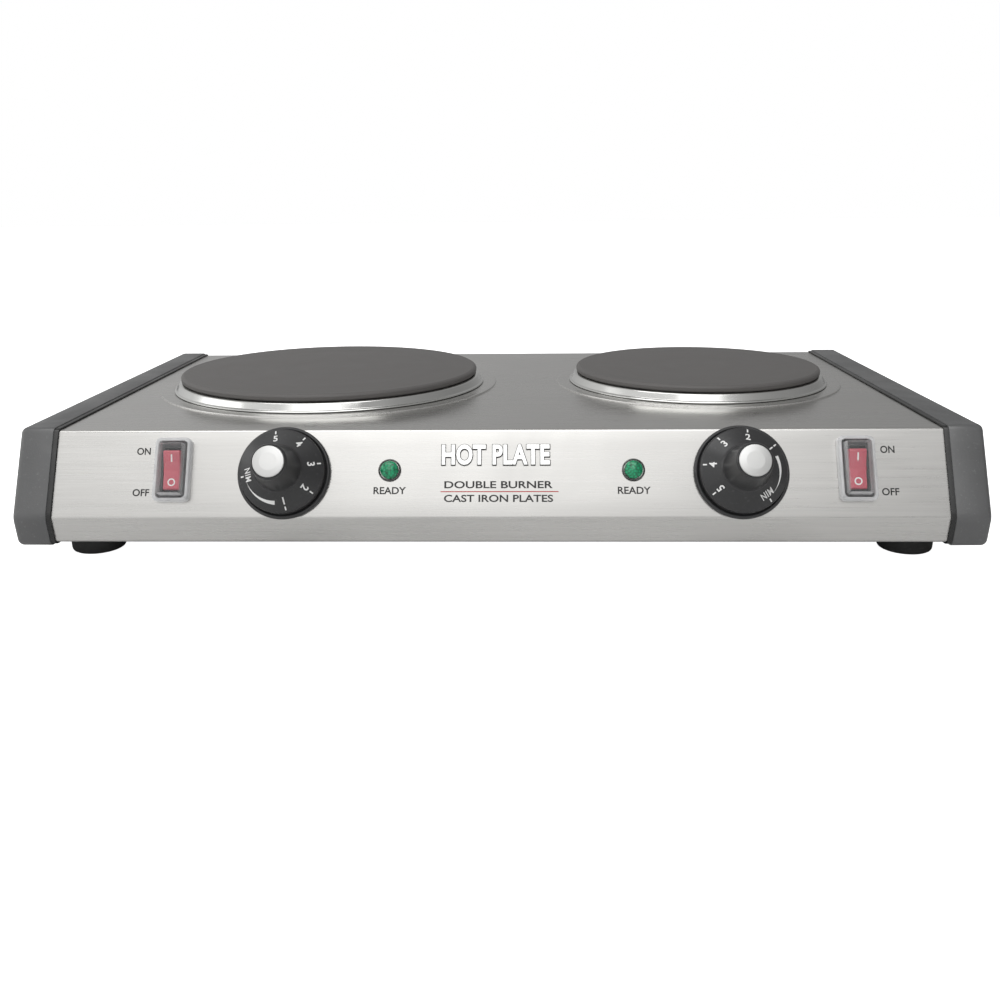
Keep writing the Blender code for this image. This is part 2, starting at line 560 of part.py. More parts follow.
def make_switch(side_name, x, panel, finishes):
    """Rocker switch, off, with its body, contact lever and clear splash cover."""
    black, red, clear, brass = finishes
    at = Vector((x, SWITCH_UP, 0))
    body = add(f"switch_body_{side_name}",
               block(FLANGE_SIZE, (0, 0, GAP + FLANGE_SIZE.z / 2)), black, panel, at)
    join(body, block(NECK, (0, 0, GAP + FLANGE_SIZE.z / 2 - NECK.z / 2)))
    for step in (-1, 0, 1):
        join(body, block(TAB, (0, step * NECK.y * 0.33, FLANGE_SIZE.z / 2 - NECK.z - TAB.z / 2 + 0.001)))
    mouth = GAP + FLANGE_SIZE.z
    cut(body, block((POCKET.x, POCKET.y, POCKET.z + 0.01), (0, 0, mouth + 0.01 - (POCKET.z + 0.01) / 2)))
    cut(body, rod(PIVOT_HOLE_R, (-0.02, 0, PIVOT_DEPTH), (0.02, 0, PIVOT_DEPTH), 12))
    ridge = mouth - POCKET.z
    ridge_top = LEVER_DEPTH - LEVER.z / 2 - GAP
    join(body, block((LEVER.x, 0.0012, ridge_top - ridge + 0.001), (0, 0, (ridge_top + ridge - 0.001) / 2)))

    seat = at + Vector((0, 0, PIVOT_DEPTH))
    side_view = polygon_prism(rocker_profile(), -ROCKER_WIDTH / 2, ROCKER_WIDTH / 2, "x")
    rocker = add(f"rocker_{side_name}", side_view, red, panel, seat, (ROCKER_TILT, 0, 0))
    join(rocker, rod(PIVOT_R, (-PIVOT_END, 0, 0), (PIVOT_END, 0, 0), 12))

    fulcrum = at + Vector((0, 0, LEVER_DEPTH))
    add(f"contact_lever_{side_name}", block(LEVER), brass, panel, fulcrum,
        (-ROCKER_TILT * LEVER_SHARE, 0, 0))

    cover = add(f"switch_cover_{side_name}",
                polygon_prism(rounded_rectangle(BOOT.x, BOOT.y, BOOT_CORNER), GAP, BOOT.z), clear, panel, at)
    inner_x, inner_y = BOOT.x - 2 * BOOT_RIM, BOOT.y - 2 * BOOT_RIM
    cut(cover, polygon_prism(rounded_rectangle(inner_x, inner_y, BOOT_CORNER - BOOT_RIM), BOOT_DECK, 0.02))
    join(cover, polygon_prism(rounded_rectangle(DOME.x, DOME.y, BOOT_CORNER * 0.8), BOOT_DECK - 0.0005, DOME.z))
    cut(cover, polygon_prism(rounded_rectangle(FLANGE_SIZE.x + 2 * GAP, FLANGE_SIZE.y + 2 * GAP, 0.0006),
                             -0.01, FLANGE_SIZE.z + 2 * GAP))
    cut(cover, polygon_prism(rounded_rectangle(DOME.x - 2 * DOME_WALL, DOME.y - 2 * DOME_WALL, 0.0016),
                             -0.01, DOME.z - DOME_WALL))


def make_lamp(side_name, x, panel, finishes):
    """Ready lamp: bright bezel, domed green lens and the holder behind the panel."""
    bright, green, black = finishes
    at = (x, LAMP_UP, 0)
    add(f"lamp_bezel_{side_name}",
        turned([(LENS_R + GAP, GAP), (LAMP_BEZEL_R, GAP), (LAMP_BEZEL_R, LAMP_BEZEL - 0.0006),
                (LAMP_BEZEL_R - 0.0006, LAMP_BEZEL), (LENS_R + GAP, LAMP_BEZEL)], SMALL_ROUND), bright, panel, at)
    stem = LAMP_HOLE_R - 2 * GAP
    dome = [(LENS_R * math.cos(a), LAMP_BEZEL + (LENS_HEIGHT - LAMP_BEZEL) * math.sin(a))
            for a in (math.pi / 2 * i / 4 for i in range(4))]
    add(f"lamp_lens_{side_name}",
        turned([(0, -LENS_STEM), (stem, -LENS_STEM), (stem, GAP), (LENS_R, GAP), *dome, (0, LENS_HEIGHT)],
               SMALL_ROUND), green, panel, at)
    back = -SHEET - GAP
    add(f"lamp_holder_{side_name}",
        turned([(0, -HOLDER_LENGTH), (HOLDER_R, -HOLDER_LENGTH), (HOLDER_R, back), (LAMP_HOLE_R, back),
                (LAMP_HOLE_R, -LENS_STEM - GAP), (0, -LENS_STEM - GAP)], SMALL_ROUND), black, panel, at)


# ---------------------------------------------------------------- rear inlet and inner works
def make_gland(root, black):
    """Cord gland in the rear wall, open right through, and the nut that holds it."""
    turn = (-math.pi / 2, 0, 0)
    at = (GLAND_X, REAR_Y, GLAND_Z)
    gland = turned([(GLAND_BORE_R, -GLAND_IN), (GLAND_R, -GLAND_IN), (GLAND_R, GAP), (GLAND_FLANGE_R, GAP),
                    (GLAND_FLANGE_R, GLAND_FLANGE - 0.0010), (GLAND_FLANGE_R - 0.0010, GLAND_FLANGE),
                    (GLAND_BORE_R + 0.0006, GLAND_FLANGE), (GLAND_BORE_R, GLAND_FLANGE - 0.0006)], 24)
    add("cord_gland", gland, black, root, at, turn)
    top = -SHEET - GAP
    nut = add("gland_nut", polygon_prism(hexagon(GLAND_NUT_FLATS), top - GLAND_NUT, top), black, root, at, turn)
    cut(nut, rod(GLAND_R + GAP, (0, 0, -0.03), (0, 0, 0.03), 24))


def make_heat_shield(root, zinc):
    """Sheet between the burners and the wiring, on two folded legs that stand on the base plate."""
    foot = BOTTOM_Z + SHEET + GAP
    over = [(-SHIELD_X + SHIELD_FOOT, foot + SHEET), (-SHIELD_X, foot + SHEET), (-SHIELD_X, SHIELD_Z),
            (SHIELD_X, SHIELD_Z), (SHIELD_X, foot + SHEET), (SHIELD_X - SHIELD_FOOT, foot + SHEET)]
    inside = SHIELD_X - SHEET
    over[1] = (-inside, foot + SHEET)
    over[4] = (inside, foot + SHEET)
    section = [(-SHIELD_X, SHIELD_Z), (SHIELD_X, SHIELD_Z), (SHIELD_X, foot), (SHIELD_X - SHIELD_FOOT, foot),
               over[5], over[4], (inside, SHIELD_Z - SHEET), (-inside, SHIELD_Z - SHEET), over[1], over[0],
               (-SHIELD_X + SHIELD_FOOT, foot), (-SHIELD_X, foot)]
    sheet = polygon_prism(section, -SHIELD_Y, SHIELD_Y, "x")
    sheet.transform(Matrix(((0, 1, 0, 0), (1, 0, 0, 0), (0, 0, 1, 0), (0, 0, 0, 1))))
    bmesh.ops.reverse_faces(sheet, faces=sheet.faces)
    add("heat_shield", sheet, zinc, root)


def make_terminal_block(root, nylon):
    """Three-way screw connector beside the cord gland."""
    floor = BOTTOM_Z + SHEET + GAP
    x, y = BLOCK_AT
    strip = add("terminal_block", block(BLOCK, (x, y, floor + BLOCK.z / 2)), nylon, root)
    for step in (-1, 0, 1):
        start = (x + step * TOWER_PITCH, y, floor + BLOCK.z - 0.001)
        join(strip, rod(TOWER_R, start, (start[0], y, floor + BLOCK.z + TOWER_HEIGHT), 12))


def tube(points, radius, sides=6):
    """A round wire along straight runs with mitred corners."""
    points = [Vector(p) for p in points]
    bm = bmesh.new()
    rings = []
    for i, point in enumerate(points):
        back = (point - points[i - 1]).normalized() if i else (points[1] - point).normalized()
        ahead = (points[i + 1] - point).normalized() if i + 1 < len(points) else back
        along = (back + ahead).normalized()
        across = along.orthogonal().normalized() if not rings else (rings[-1][1] - along * rings[-1][1].dot(along))
        across.normalize()
        up = along.cross(across)
        verts = [bm.verts.new(point + radius * (across * math.cos(a) + up * math.sin(a)))
                 for a in (2 * math.pi * k / sides for k in range(sides))]
        rings.append((verts, across))
    for (first, _), (second, _) in zip(rings, rings[1:]):
        for k in range(sides):
            bm.faces.new((first[k], first[(k + 1) % sides], second[(k + 1) % sides], second[k]))
    bm.faces.new(rings[0][0])
    bm.faces.new(rings[-1][0])
    bmesh.ops.recalc_face_normals(bm, faces=bm.faces)
    return bm


def smooth_route(points, steps=4):
    """Points on a smooth curve through the route's own points."""
    points = [Vector(p) for p in points]
    route = []
    for i in range(len(points) - 1):
        before = points[max(i - 1, 0)]
        a, b = points[i], points[i + 1]
        after = points[min(i + 2, len(points) - 1)]
        for step in range(steps):
            t = step / steps
            route.append(0.5 * (2 * a + (b - before) * t + (2 * before - 5 * a + 4 * b - after) * t * t
                                + (3 * a - before - 3 * b + after) * t ** 3))
    return [*route, points[-1]]


def make_loom(root, panel, insulation):
    """Wiring loom: a trunk from the terminal block to the front, with a branch up to each control."""
    floor = BOTTOM_Z + SHEET + GAP
    x, y = BLOCK_AT
    low = floor + LOOM_R + 0.003
    front = 0.016 - SHIELD_Y
    left_end = CONTROLS_X - SWITCH_OUT
    right_end = CONTROLS_X + SWITCH_OUT
    trunk = [(left_end, front, low), (CONTROLS_X - KNOB_OUT, front, low), (0.0, front, low),
             (x * 0.5, front, low), (x, front, low), (right_end, front, low)]
    loom = add("wiring_loom", tube(smooth_route(trunk), LOOM_R), insulation, root)
    feed = [(x, y - BLOCK.y / 2 - GAP, floor + BLOCK.z / 2), (x, y - 0.030, low), (x - 0.004, 0.0, low), (x, front, low)]
    join(loom, tube(smooth_route(feed), LOOM_R * 1.15))
    through = panel.matrix_basis
    for side in (-1, 1):
        ends = (
            (side * SWITCH_OUT, SWITCH_UP - 0.006, -NECK.z - TAB.z - 0.001, 0.0),
            (side * LAMP_OUT, LAMP_UP - 0.002, -HOLDER_LENGTH - GAP, 0.0),
            (side * KNOB_OUT, KNOB_UP - 0.004, -SHAFT_IN - 0.0085, 0.008),
        )
        for px, py, pz, inward in ends:
            tip = through @ Vector((px, py, pz))
            step = through.to_3x3() @ Vector((0, 0, -0.006 - inward))
            foot = Vector((tip.x, front, low))
            middle = (tip + step + foot) / 2 + Vector((0, -0.002, -0.004))
            join(loom, tube(smooth_route([tip, tip + step, middle, foot], 3), BRANCH_R))


def main():
    for old in list(bpy.data.objects):
        bpy.data.objects.remove(old)
    steel = material("brushed_stainless", (0.62, 0.62, 0.60), 0.30, 1.0)
    bright = material("polished_steel", (0.78, 0.78, 0.77), 0.12, 1.0)
    zinc = material("zinc_plated_steel", (0.55, 0.56, 0.57), 0.40, 1.0)
    iron = material("coated_cast_iron", (0.13, 0.125, 0.12), 0.50)
    cap_plastic = material("grained_black_plastic", (0.06, 0.06, 0.062), 0.50)
    knob_plastic = material("dial_black_plastic", (0.045, 0.045, 0.047), 0.38)
    rubber = material("black_rubber", (0.02, 0.02, 0.02), 0.75)
    red = material("red_rocker", (0.55, 0.03, 0.05), 0.30)
    clear = material("clear_silicone", (0.90, 0.90, 0.92), 0.15, alpha=0.30)
    green = material("green_lens", (0.01, 0.28, 0.10), 0.10)
    ceramic = material("steatite", (0.80, 0.77, 0.70), 0.60)
    nylon = material("white_nylon", (0.82, 0.82, 0.80), 0.50)
    brass = material("brass", (0.72, 0.52, 0.22), 0.30, 1.0)
    wire = material("wire_sleeve", (0.30, 0.05, 0.04), 0.60)

    root = helper("hot_plate", None, (0, SHIFT_Y, 0))
    panel = helper("control_panel", root, (CONTROLS_X, KNEE_Y, KNEE_Z), (math.pi / 2 - PANEL_TILT, 0, 0))
    bpy.context.view_layer.update()

    make_housing(root, panel, steel)
    make_base_plate(root, zinc)
    make_end_cap("end_cap_left", -1, root, cap_plastic)
    make_end_cap("end_cap_right", 1, root, cap_plastic)
    make_feet(root, rubber, zinc)
    for size, place, radius in (("large", LARGE_AT, LARGE_R), ("small", SMALL_AT, SMALL_R)):
        make_burner(size, place, radius, root, (iron, bright, ceramic, zinc))
    for name, side in (("left", -1), ("right", 1)):
        make_knob(name, side * KNOB_OUT, panel, (knob_plastic, bright, zinc, ceramic))
        make_switch(name, side * SWITCH_OUT, panel, (knob_plastic, red, clear, brass))
        make_lamp(name, side * LAMP_OUT, panel, (bright, green, knob_plastic))
    add("badge", block(BADGE, (0, 0, GAP + BADGE.z / 2)), bright, panel, (BADGE_X - CONTROLS_X, BADGE_UP, 0))
    make_gland(root, knob_plastic)
    make_heat_shield(root, zinc)
    make_terminal_block(root, nylon)
    make_loom(root, panel, wire)


main()
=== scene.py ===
"""Studio scene of a two-burner electric hot plate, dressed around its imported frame.

The frame gives every moving body and every inner piece. The classes below model the pieces that show, in the
frame's own metres: +X is the user's right, +Y the back and +Z up.
"""

import json
import logging
import math
from dataclasses import dataclass, field
from enum import Enum

import bmesh
import bpy
from mathutils import Matrix, Vector


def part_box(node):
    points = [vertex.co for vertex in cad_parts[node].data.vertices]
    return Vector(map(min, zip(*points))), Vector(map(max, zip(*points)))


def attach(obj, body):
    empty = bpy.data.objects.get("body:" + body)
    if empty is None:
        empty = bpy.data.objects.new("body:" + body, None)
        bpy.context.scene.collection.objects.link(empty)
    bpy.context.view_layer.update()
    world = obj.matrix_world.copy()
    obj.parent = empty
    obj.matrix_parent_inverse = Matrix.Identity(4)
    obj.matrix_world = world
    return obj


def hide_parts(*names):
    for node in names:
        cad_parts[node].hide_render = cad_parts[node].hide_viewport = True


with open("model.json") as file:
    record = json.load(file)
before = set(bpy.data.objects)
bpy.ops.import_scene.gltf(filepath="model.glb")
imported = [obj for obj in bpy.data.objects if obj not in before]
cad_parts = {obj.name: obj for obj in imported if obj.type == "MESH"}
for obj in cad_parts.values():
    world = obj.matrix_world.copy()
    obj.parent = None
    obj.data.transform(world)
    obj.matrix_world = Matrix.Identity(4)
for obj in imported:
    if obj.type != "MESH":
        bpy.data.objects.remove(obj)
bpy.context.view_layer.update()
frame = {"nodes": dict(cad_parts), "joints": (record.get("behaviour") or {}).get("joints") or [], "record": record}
LOG = logging.getLogger("hot_plate")

GAP = 0.0003
SHEET = 0.0008
FULL_TURN = 2 * math.pi
RING_STEPS = 180
CUT_DEPTH = 0.01
CAPITAL = 0.72
STATIC = "frame"
Colour = tuple[float, float, float]
Outline = list[tuple[float, float]]


class Side(Enum):
    """The two control groups, with the direction of each along +X."""

    LEFT = -1
    RIGHT = 1

    @property
    def word(self) -> str:
        """The side's name, as the frame's nodes and bodies spell it."""
        return self.name.lower()


class Size(Enum):
    """The two burners."""

    LARGE = "large"
    SMALL = "small"


# ------------------------------------------------------------------------------------------ shader groups
class Group:
    """A shader node group with named inputs and outputs, built once and used by several finishes."""

    made: dict[str, bpy.types.NodeTree] = {}

    def __init__(self, name: str, inputs: dict[str, float | None], outputs: dict[str, str]) -> None:
        """Starts the group.

        Args:
            name: the group's name.
            inputs: each number's name and default, or None for a vector.
            outputs: each output's name and socket type.
        """
        self.tree = bpy.data.node_groups.new(name, "ShaderNodeTree")
        for label, value in inputs.items():
            kind = "NodeSocketVector" if value is None else "NodeSocketFloat"
            socket = self.tree.interface.new_socket(label, in_out="INPUT", socket_type=kind)
            if value is not None:
                socket.default_value = value
        for label, kind in outputs.items():
            self.tree.interface.new_socket(label, in_out="OUTPUT", socket_type=kind)
        self.source = self.tree.nodes.new("NodeGroupInput")
        self.sink = self.tree.nodes.new("NodeGroupOutput")
        Group.made[name] = self.tree

    def node(self, kind: str, inputs: dict | None = None, **settings: object) -> bpy.types.Node:
        """Adds a node; see wire()."""
        return wire(self.tree, kind, inputs, **settings)

    def give(self, label: str, socket: bpy.types.NodeSocket) -> None:
        """Joins a socket to one of the group's outputs."""
        self.tree.links.new(socket, self.sink.inputs[label])


def wire(tree: bpy.types.NodeTree, kind: str, inputs: dict | None = None, **settings: object) -> bpy.types.Node:
    """Adds one shader node.

    Args:
        tree: the node tree that it goes in.
        kind: the node's type without its ShaderNode prefix.
        inputs: each input's name or number, with a value, or with a socket that feeds it.
        settings: the node's own properties.

    Returns:
        The node.
    """
    made = tree.nodes.new(f"ShaderNode{kind}")
    for label, value in settings.items():
        setattr(made, label, value)
    for label, value in (inputs or {}).items():
        if isinstance(value, bpy.types.NodeSocket):
            tree.links.new(value, made.inputs[label])
        else:
            made.inputs[label].default_value = value
    return made


def brushed_group() -> None:
    """Fine parallel scratches along the first axis, with slow cloudy changes of tone."""
    made = Group("brushed_grain", {"Vector": None, "Length": 0.02, "Fineness": 2600.0},
                 {"Scratch": "NodeSocketFloat", "Cloud": "NodeSocketFloat"})
    parts = made.node("SeparateXYZ", {"Vector": made.source.outputs["Vector"]})
    shrunk = made.node("Math", {0: parts.outputs["X"], 1: made.source.outputs["Length"]}, operation="MULTIPLY")
    drawn = made.node("CombineXYZ", {"X": shrunk.outputs[0], "Y": parts.outputs["Y"], "Z": parts.outputs["Z"]})
    fine = made.node("TexNoise", {"Vector": drawn.outputs[0], "Scale": made.source.outputs["Fineness"],
                                  "Detail": 3.0, "Roughness": 0.65})
    broad = made.node("TexNoise", {"Vector": drawn.outputs[0], "Scale": 420.0, "Detail": 4.0})
    both = made.node("Mix", {"Factor": 0.42, "A": fine.outputs["Fac"], "B": broad.outputs["Fac"]})
    crisp = made.node("MapRange", {"Value": both.outputs["Result"], "From Min": 0.28, "From Max": 0.72})
    made.give("Scratch", crisp.outputs["Result"])
    cloud = made.node("TexNoise", {"Vector": made.source.outputs["Vector"], "Scale": 9.0, "Detail": 3.0})
    made.give("Cloud", cloud.outputs["Fac"])


def speckle_group() -> None:
    """Small rounded bumps, as on a spark-eroded mould or a cast face, and a mottle of tone."""
    made = Group("speckle", {"Vector": None, "Fineness": 1800.0},
                 {"Height": "NodeSocketFloat", "Mottle": "NodeSocketFloat"})
    grit = made.node("TexNoise", {"Vector": made.source.outputs["Vector"], "Detail": 2.0, "Roughness": 0.6,
                                  "Scale": made.source.outputs["Fineness"]})
    cells = made.node("TexVoronoi", {"Vector": made.source.outputs["Vector"],
                                     "Scale": made.source.outputs["Fineness"]}, feature="SMOOTH_F1")
    both = made.node("Mix", {"Factor": 0.5, "A": grit.outputs["Fac"], "B": cells.outputs["Distance"]})
    made.give("Height", both.outputs["Result"])
    mottle = made.node("TexNoise", {"Vector": made.source.outputs["Vector"], "Scale": 38.0, "Detail": 5.0})
    made.give("Mottle", mottle.outputs["Fac"])


def turned_group() -> None:
    """Concentric lathe marks round the vector's Z axis, each ring with its own depth."""
    made = Group("lathe_rings", {"Vector": None, "Rings": 900.0},
                 {"Height": "NodeSocketFloat", "Tone": "NodeSocketFloat"})
    parts = made.node("SeparateXYZ", {"Vector": made.source.outputs["Vector"]})
    flat = made.node("CombineXYZ", {"X": parts.outputs["X"], "Y": parts.outputs["Y"]})
    reach = made.node("VectorMath", {0: flat.outputs[0]}, operation="LENGTH")
    along = made.node("Math", {0: reach.outputs["Value"], 1: made.source.outputs["Rings"]}, operation="MULTIPLY")
    line = made.node("CombineXYZ", {"X": along.outputs[0]})
    ridge = made.node("TexNoise", {"Vector": line.outputs[0], "Scale": 1.0, "Detail": 3.0, "Roughness": 0.7})
    made.give("Height", ridge.outputs["Fac"])
    slow = made.node("Math", {0: along.outputs[0], 1: 0.06}, operation="MULTIPLY")
    band = made.node("CombineXYZ", {"X": slow.outputs[0]})
    tone = made.node("TexNoise", {"Vector": band.outputs[0], "Scale": 1.0, "Detail": 2.0})
    made.give("Tone", tone.outputs["Fac"])


def handling_group() -> None:
    """Faint smears and dust: a slow mask for roughness and a finer one for colour."""
    made = Group("handling", {"Vector": None, "Spread": 26.0},
                 {"Smear": "NodeSocketFloat", "Dust": "NodeSocketFloat"})
    warp = made.node("TexNoise", {"Vector": made.source.outputs["Vector"], "Scale": made.source.outputs["Spread"],
                                  "Detail": 4.0, "Distortion": 1.2})
    smear = made.node("MapRange", {"Value": warp.outputs["Fac"], "From Min": 0.38, "From Max": 0.68})
    made.give("Smear", smear.outputs["Result"])
    specks = made.node("TexNoise", {"Vector": made.source.outputs["Vector"], "Scale": 640.0, "Detail": 3.0})
    dust = made.node("MapRange", {"Value": specks.outputs["Fac"], "From Min": 0.62, "From Max": 0.78})
    made.give("Dust", dust.outputs["Result"])


# ------------------------------------------------------------------------------------------ finishes
class Board:
    """One material's node tree, with its Principled shader and its object coordinates."""

    def __init__(self, name: str, centre: Vector | None = None, turn: float = 0.0) -> None:
        """Starts a material.

        Args:
            name: the material's name.
            centre: where the pattern's own axis stands, if it has one.
            turn: the pattern's turn about X, in radians, so that its Z axis follows a tilted piece.
        """
        self.material = bpy.data.materials.new(name)
        self.material.use_nodes = True
        self.tree = self.material.node_tree
        self.shader = self.tree.nodes["Principled BSDF"]
        self.place = self.node("TexCoord").outputs["Object"]
        if centre is not None:
            spun_back = Matrix.Rotation(-turn, 3, "X")
            shift = spun_back @ centre
            self.place = self.node("Mapping", {"Vector": self.place, "Location": -shift,
                                               "Rotation": (-turn, 0.0, 0.0)}).outputs["Vector"]

    def node(self, kind: str, inputs: dict | None = None, **settings: object) -> bpy.types.Node:
        """Adds a node; see wire()."""
        return wire(self.tree, kind, inputs, **settings)

    def group(self, name: str, **inputs: float) -> bpy.types.Node:
        """Places a shared group, fed with this material's coordinates.

        Args:
            name: the group's name.
            inputs: its numbers that differ from their defaults.

        Returns:
            The group's node.
        """
        made = self.tree.nodes.new("ShaderNodeGroup")
        made.node_tree = Group.made[name]
        self.tree.links.new(self.place, made.inputs["Vector"])
        for label, value in inputs.items():
            made.inputs[label].default_value = value
        return made

    def set(self, **values: object) -> None:
        """Sets the shader's own sockets; an underscore in a name stands for a space."""
        for label, value in values.items():
            self.shader.inputs[label.replace("_", " ")].default_value = value

    def spread(self, mask: bpy.types.NodeSocket, low: float, high: float) -> bpy.types.NodeSocket:
        """A mask's 0 to 1 turned into low to high."""
        return self.node("MapRange", {"Value": mask, "To Min": low, "To Max": high}).outputs["Result"]

    def tint(self, mask: bpy.types.NodeSocket, dark: Colour, light: Colour) -> bpy.types.NodeSocket:
        """A colour between two, as a mask says."""
        return self.node("Mix", {"Factor": mask, "A": (*dark, 1.0), "B": (*light, 1.0)},
                         data_type="RGBA").outputs["Result"]

    def bump(self, height: bpy.types.NodeSocket, strength: float, distance: float) -> None:
        """Feeds the shader's normal with a height."""
        made = self.node("Bump", {"Height": height, "Strength": strength, "Distance": distance})
        self.feed("Normal", made.outputs["Normal"])

    def feed(self, label: str, socket: bpy.types.NodeSocket) -> None:
        """Joins a socket to one of the shader's own."""
        self.tree.links.new(socket, self.shader.inputs[label])


@dataclass(frozen=True)
class BrushedSteel:
    """Sheet steel brushed along X."""

    name: str
    dark: Colour = (0.50, 0.495, 0.48)
    light: Colour = (0.68, 0.67, 0.65)
    rough: tuple[float, float] = (0.22, 0.36)
    stretch: float = 0.6

    def build(self) -> bpy.types.Material:
        """Builds the finish.

        Returns:
            The material.
        """
        board = Board(self.name)
        grain = board.group("brushed_grain", Length=0.016, Fineness=1700.0)
        marks = board.group("handling", Spread=14.0)
        board.set(Metallic=1.0, Anisotropic=self.stretch, Anisotropic_Rotation=0.25)
        tangent = board.node("Tangent", direction_type="RADIAL", axis="X")
        board.feed("Tangent", tangent.outputs["Tangent"])
        tone = board.node("Mix", {"Factor": 0.55, "A": grain.outputs["Scratch"], "B": grain.outputs["Cloud"]})
        board.feed("Base Color", board.tint(tone.outputs["Result"], self.dark, self.light))
        wear = board.node("Mix", {"Factor": 0.3, "A": grain.outputs["Scratch"], "B": marks.outputs["Smear"]})
        board.feed("Roughness", board.spread(wear.outputs["Result"], *self.rough))
        board.bump(grain.outputs["Scratch"], 0.05, 0.0001)
        return board.material


@dataclass(frozen=True)
class PolishedSteel:
    """Bright steel with faint lathe marks round its own axis."""

    name: str
    centre: Vector
    turn: float = 0.0
    colour: Colour = (0.72, 0.72, 0.70)
    rough: tuple[float, float] = (0.10, 0.20)
    depth: float = 0.10

    def build(self) -> bpy.types.Material:
        """Builds the finish.

        Returns:
            The material.
        """
        board = Board(self.name, self.centre, self.turn)
        rings = board.group("lathe_rings", Rings=2600.0)
        marks = board.group("handling", Spread=40.0)
        board.set(Metallic=1.0)
        dim = tuple(0.86 * part for part in self.colour)
        board.feed("Base Color", board.tint(rings.outputs["Tone"], dim, self.colour))
        board.feed("Roughness", board.spread(marks.outputs["Smear"], *self.rough))
        board.bump(rings.outputs["Height"], self.depth, 0.0001)
        return board.material


@dataclass(frozen=True)
class CastIron:
    """Heat-proof black coating over a turned cast-iron face."""

    name: str
    centre: Vector
    dark: Colour = (0.098, 0.094, 0.091)
    light: Colour = (0.138, 0.132, 0.128)

    def build(self) -> bpy.types.Material:
        """Builds the finish.

        Returns:
            The material.
        """
        board = Board(self.name, self.centre)
        rings = board.group("lathe_rings", Rings=1500.0)
        grit = board.group("speckle", Fineness=1500.0)
        board.set(Metallic=0.15, Specular_IOR_Level=0.42)
        tone = board.node("Mix", {"Factor": 0.55, "A": rings.outputs["Tone"], "B": grit.outputs["Mottle"]})
        board.feed("Base Color", board.tint(tone.outputs["Result"], self.dark, self.light))
        board.feed("Roughness", board.spread(grit.outputs["Mottle"], 0.46, 0.62))
        relief = board.node("Mix", {"Factor": 0.45, "A": rings.outputs["Height"], "B": grit.outputs["Height"]})
        board.bump(relief.outputs["Result"], 0.22, 0.00014)
        return board.material


@dataclass(frozen=True)
class Moulded:
    """Moulded plastic, rubber or ceramic: speckled surface, slow mottle and a little dust."""

    name: str
    dark: Colour
    light: Colour
    rough: tuple[float, float] = (0.42, 0.56)
    fineness: float = 1800.0
    depth: float = 0.25
    dust: float = 0.04
    extra: dict[str, float] = field(default_factory=dict)

    def build(self) -> bpy.types.Material:
        """Builds the finish.

        Returns:
            The material.
        """
        board = Board(self.name)
        grit = board.group("speckle", Fineness=self.fineness)
        marks = board.group("handling")
        board.set(**self.extra)
        base = board.tint(grit.outputs["Mottle"], self.dark, self.light)
        dusty = tuple(part + self.dust for part in self.light)
        mixed = board.node("Mix", {"Factor": marks.outputs["Dust"], "A": base, "B": (*dusty, 1.0)},
                           data_type="RGBA")
        board.feed("Base Color", mixed.outputs["Result"])
        board.feed("Roughness", board.spread(marks.outputs["Smear"], *self.rough))
        board.bump(grit.outputs["Height"], self.depth, 0.00012)
        return board.material


@dataclass(frozen=True)
class Plated:
    """Zinc-plated or plain metal with a soft crystal mottle."""

    name: str
    dark: Colour = (0.42, 0.43, 0.44)
    light: Colour = (0.60, 0.61, 0.62)
    rough: tuple[float, float] = (0.30, 0.46)

    def build(self) -> bpy.types.Material:
        """Builds the finish.

        Returns:
            The material.
        """
        board = Board(self.name)
        marks = board.group("handling", Spread=55.0)
        grit = board.group("speckle", Fineness=900.0)
        board.set(Metallic=1.0)
        board.feed("Base Color", board.tint(grit.outputs["Mottle"], self.dark, self.light))
        board.feed("Roughness", board.spread(marks.outputs["Smear"], *self.rough))
        board.bump(grit.outputs["Height"], 0.06, 0.0001)
        return board.material


@dataclass(frozen=True)
class ClearSkin:
    """Clear soft moulding: nearly invisible face on, whiter where it turns away; that whitening is partly the
    moulding's own haze and partly a painted reflection at its edges.
    """

    name: str
    face_on: float = 0.05
    edge_on: float = 0.80

    def build(self) -> bpy.types.Material:
        """Builds the finish.

        Returns:
            The material.
        """
        board = Board(self.name)
        marks = board.group("handling", Spread=120.0)
        board.set(Specular_IOR_Level=0.8, Coat_Weight=0.6, Coat_Roughness=0.05)
        board.feed("Base Color", board.tint(marks.outputs["Smear"], (0.78, 0.79, 0.80), (0.92, 0.92, 0.93)))
        board.feed("Roughness", board.spread(marks.outputs["Smear"], 0.08, 0.20))
        # painted reflection, partly real haze: the whitish colour grows opaque where the surface turns from view
        facing = board.node("LayerWeight", {"Blend": 0.5})
        bent = board.node("MapRange", {"Value": facing.outputs["Facing"], "From Min": 0.42, "From Max": 0.85})
        board.feed("Alpha", board.spread(bent.outputs["Result"], self.face_on, self.edge_on))
        return board.material


@dataclass(frozen=True)
class LampLens:
    """Green lens over a faceted inside; the green is its own, but each facet is painted lighter in its middle and
    darker at its edge, a painted glint of the light that the facets catch.
    """

    name: str
    # painted glint and shade: light is the green painted in each facet's middle, dark the green painted at its edges
    dark: Colour = (0.001, 0.036, 0.016)
    light: Colour = (0.010, 0.44, 0.19)

    def build(self) -> bpy.types.Material:
        """Builds the finish.

        Returns:
            The material.
        """
        board = Board(self.name)
        facets = board.node("TexVoronoi", {"Vector": board.place, "Scale": 820.0})
        board.set(IOR=1.49, Specular_IOR_Level=0.3, Coat_Weight=0.6, Coat_Roughness=0.02)
        # the facets' colour is painted light: glint in their middles, shade at their edges
        board.feed("Base Color", board.tint(facets.outputs["Distance"], self.light, self.dark))
        board.feed("Roughness", board.spread(facets.outputs["Distance"], 0.10, 0.30))
        board.bump(facets.outputs["Distance"], 0.12, 0.0002)
        return board.material


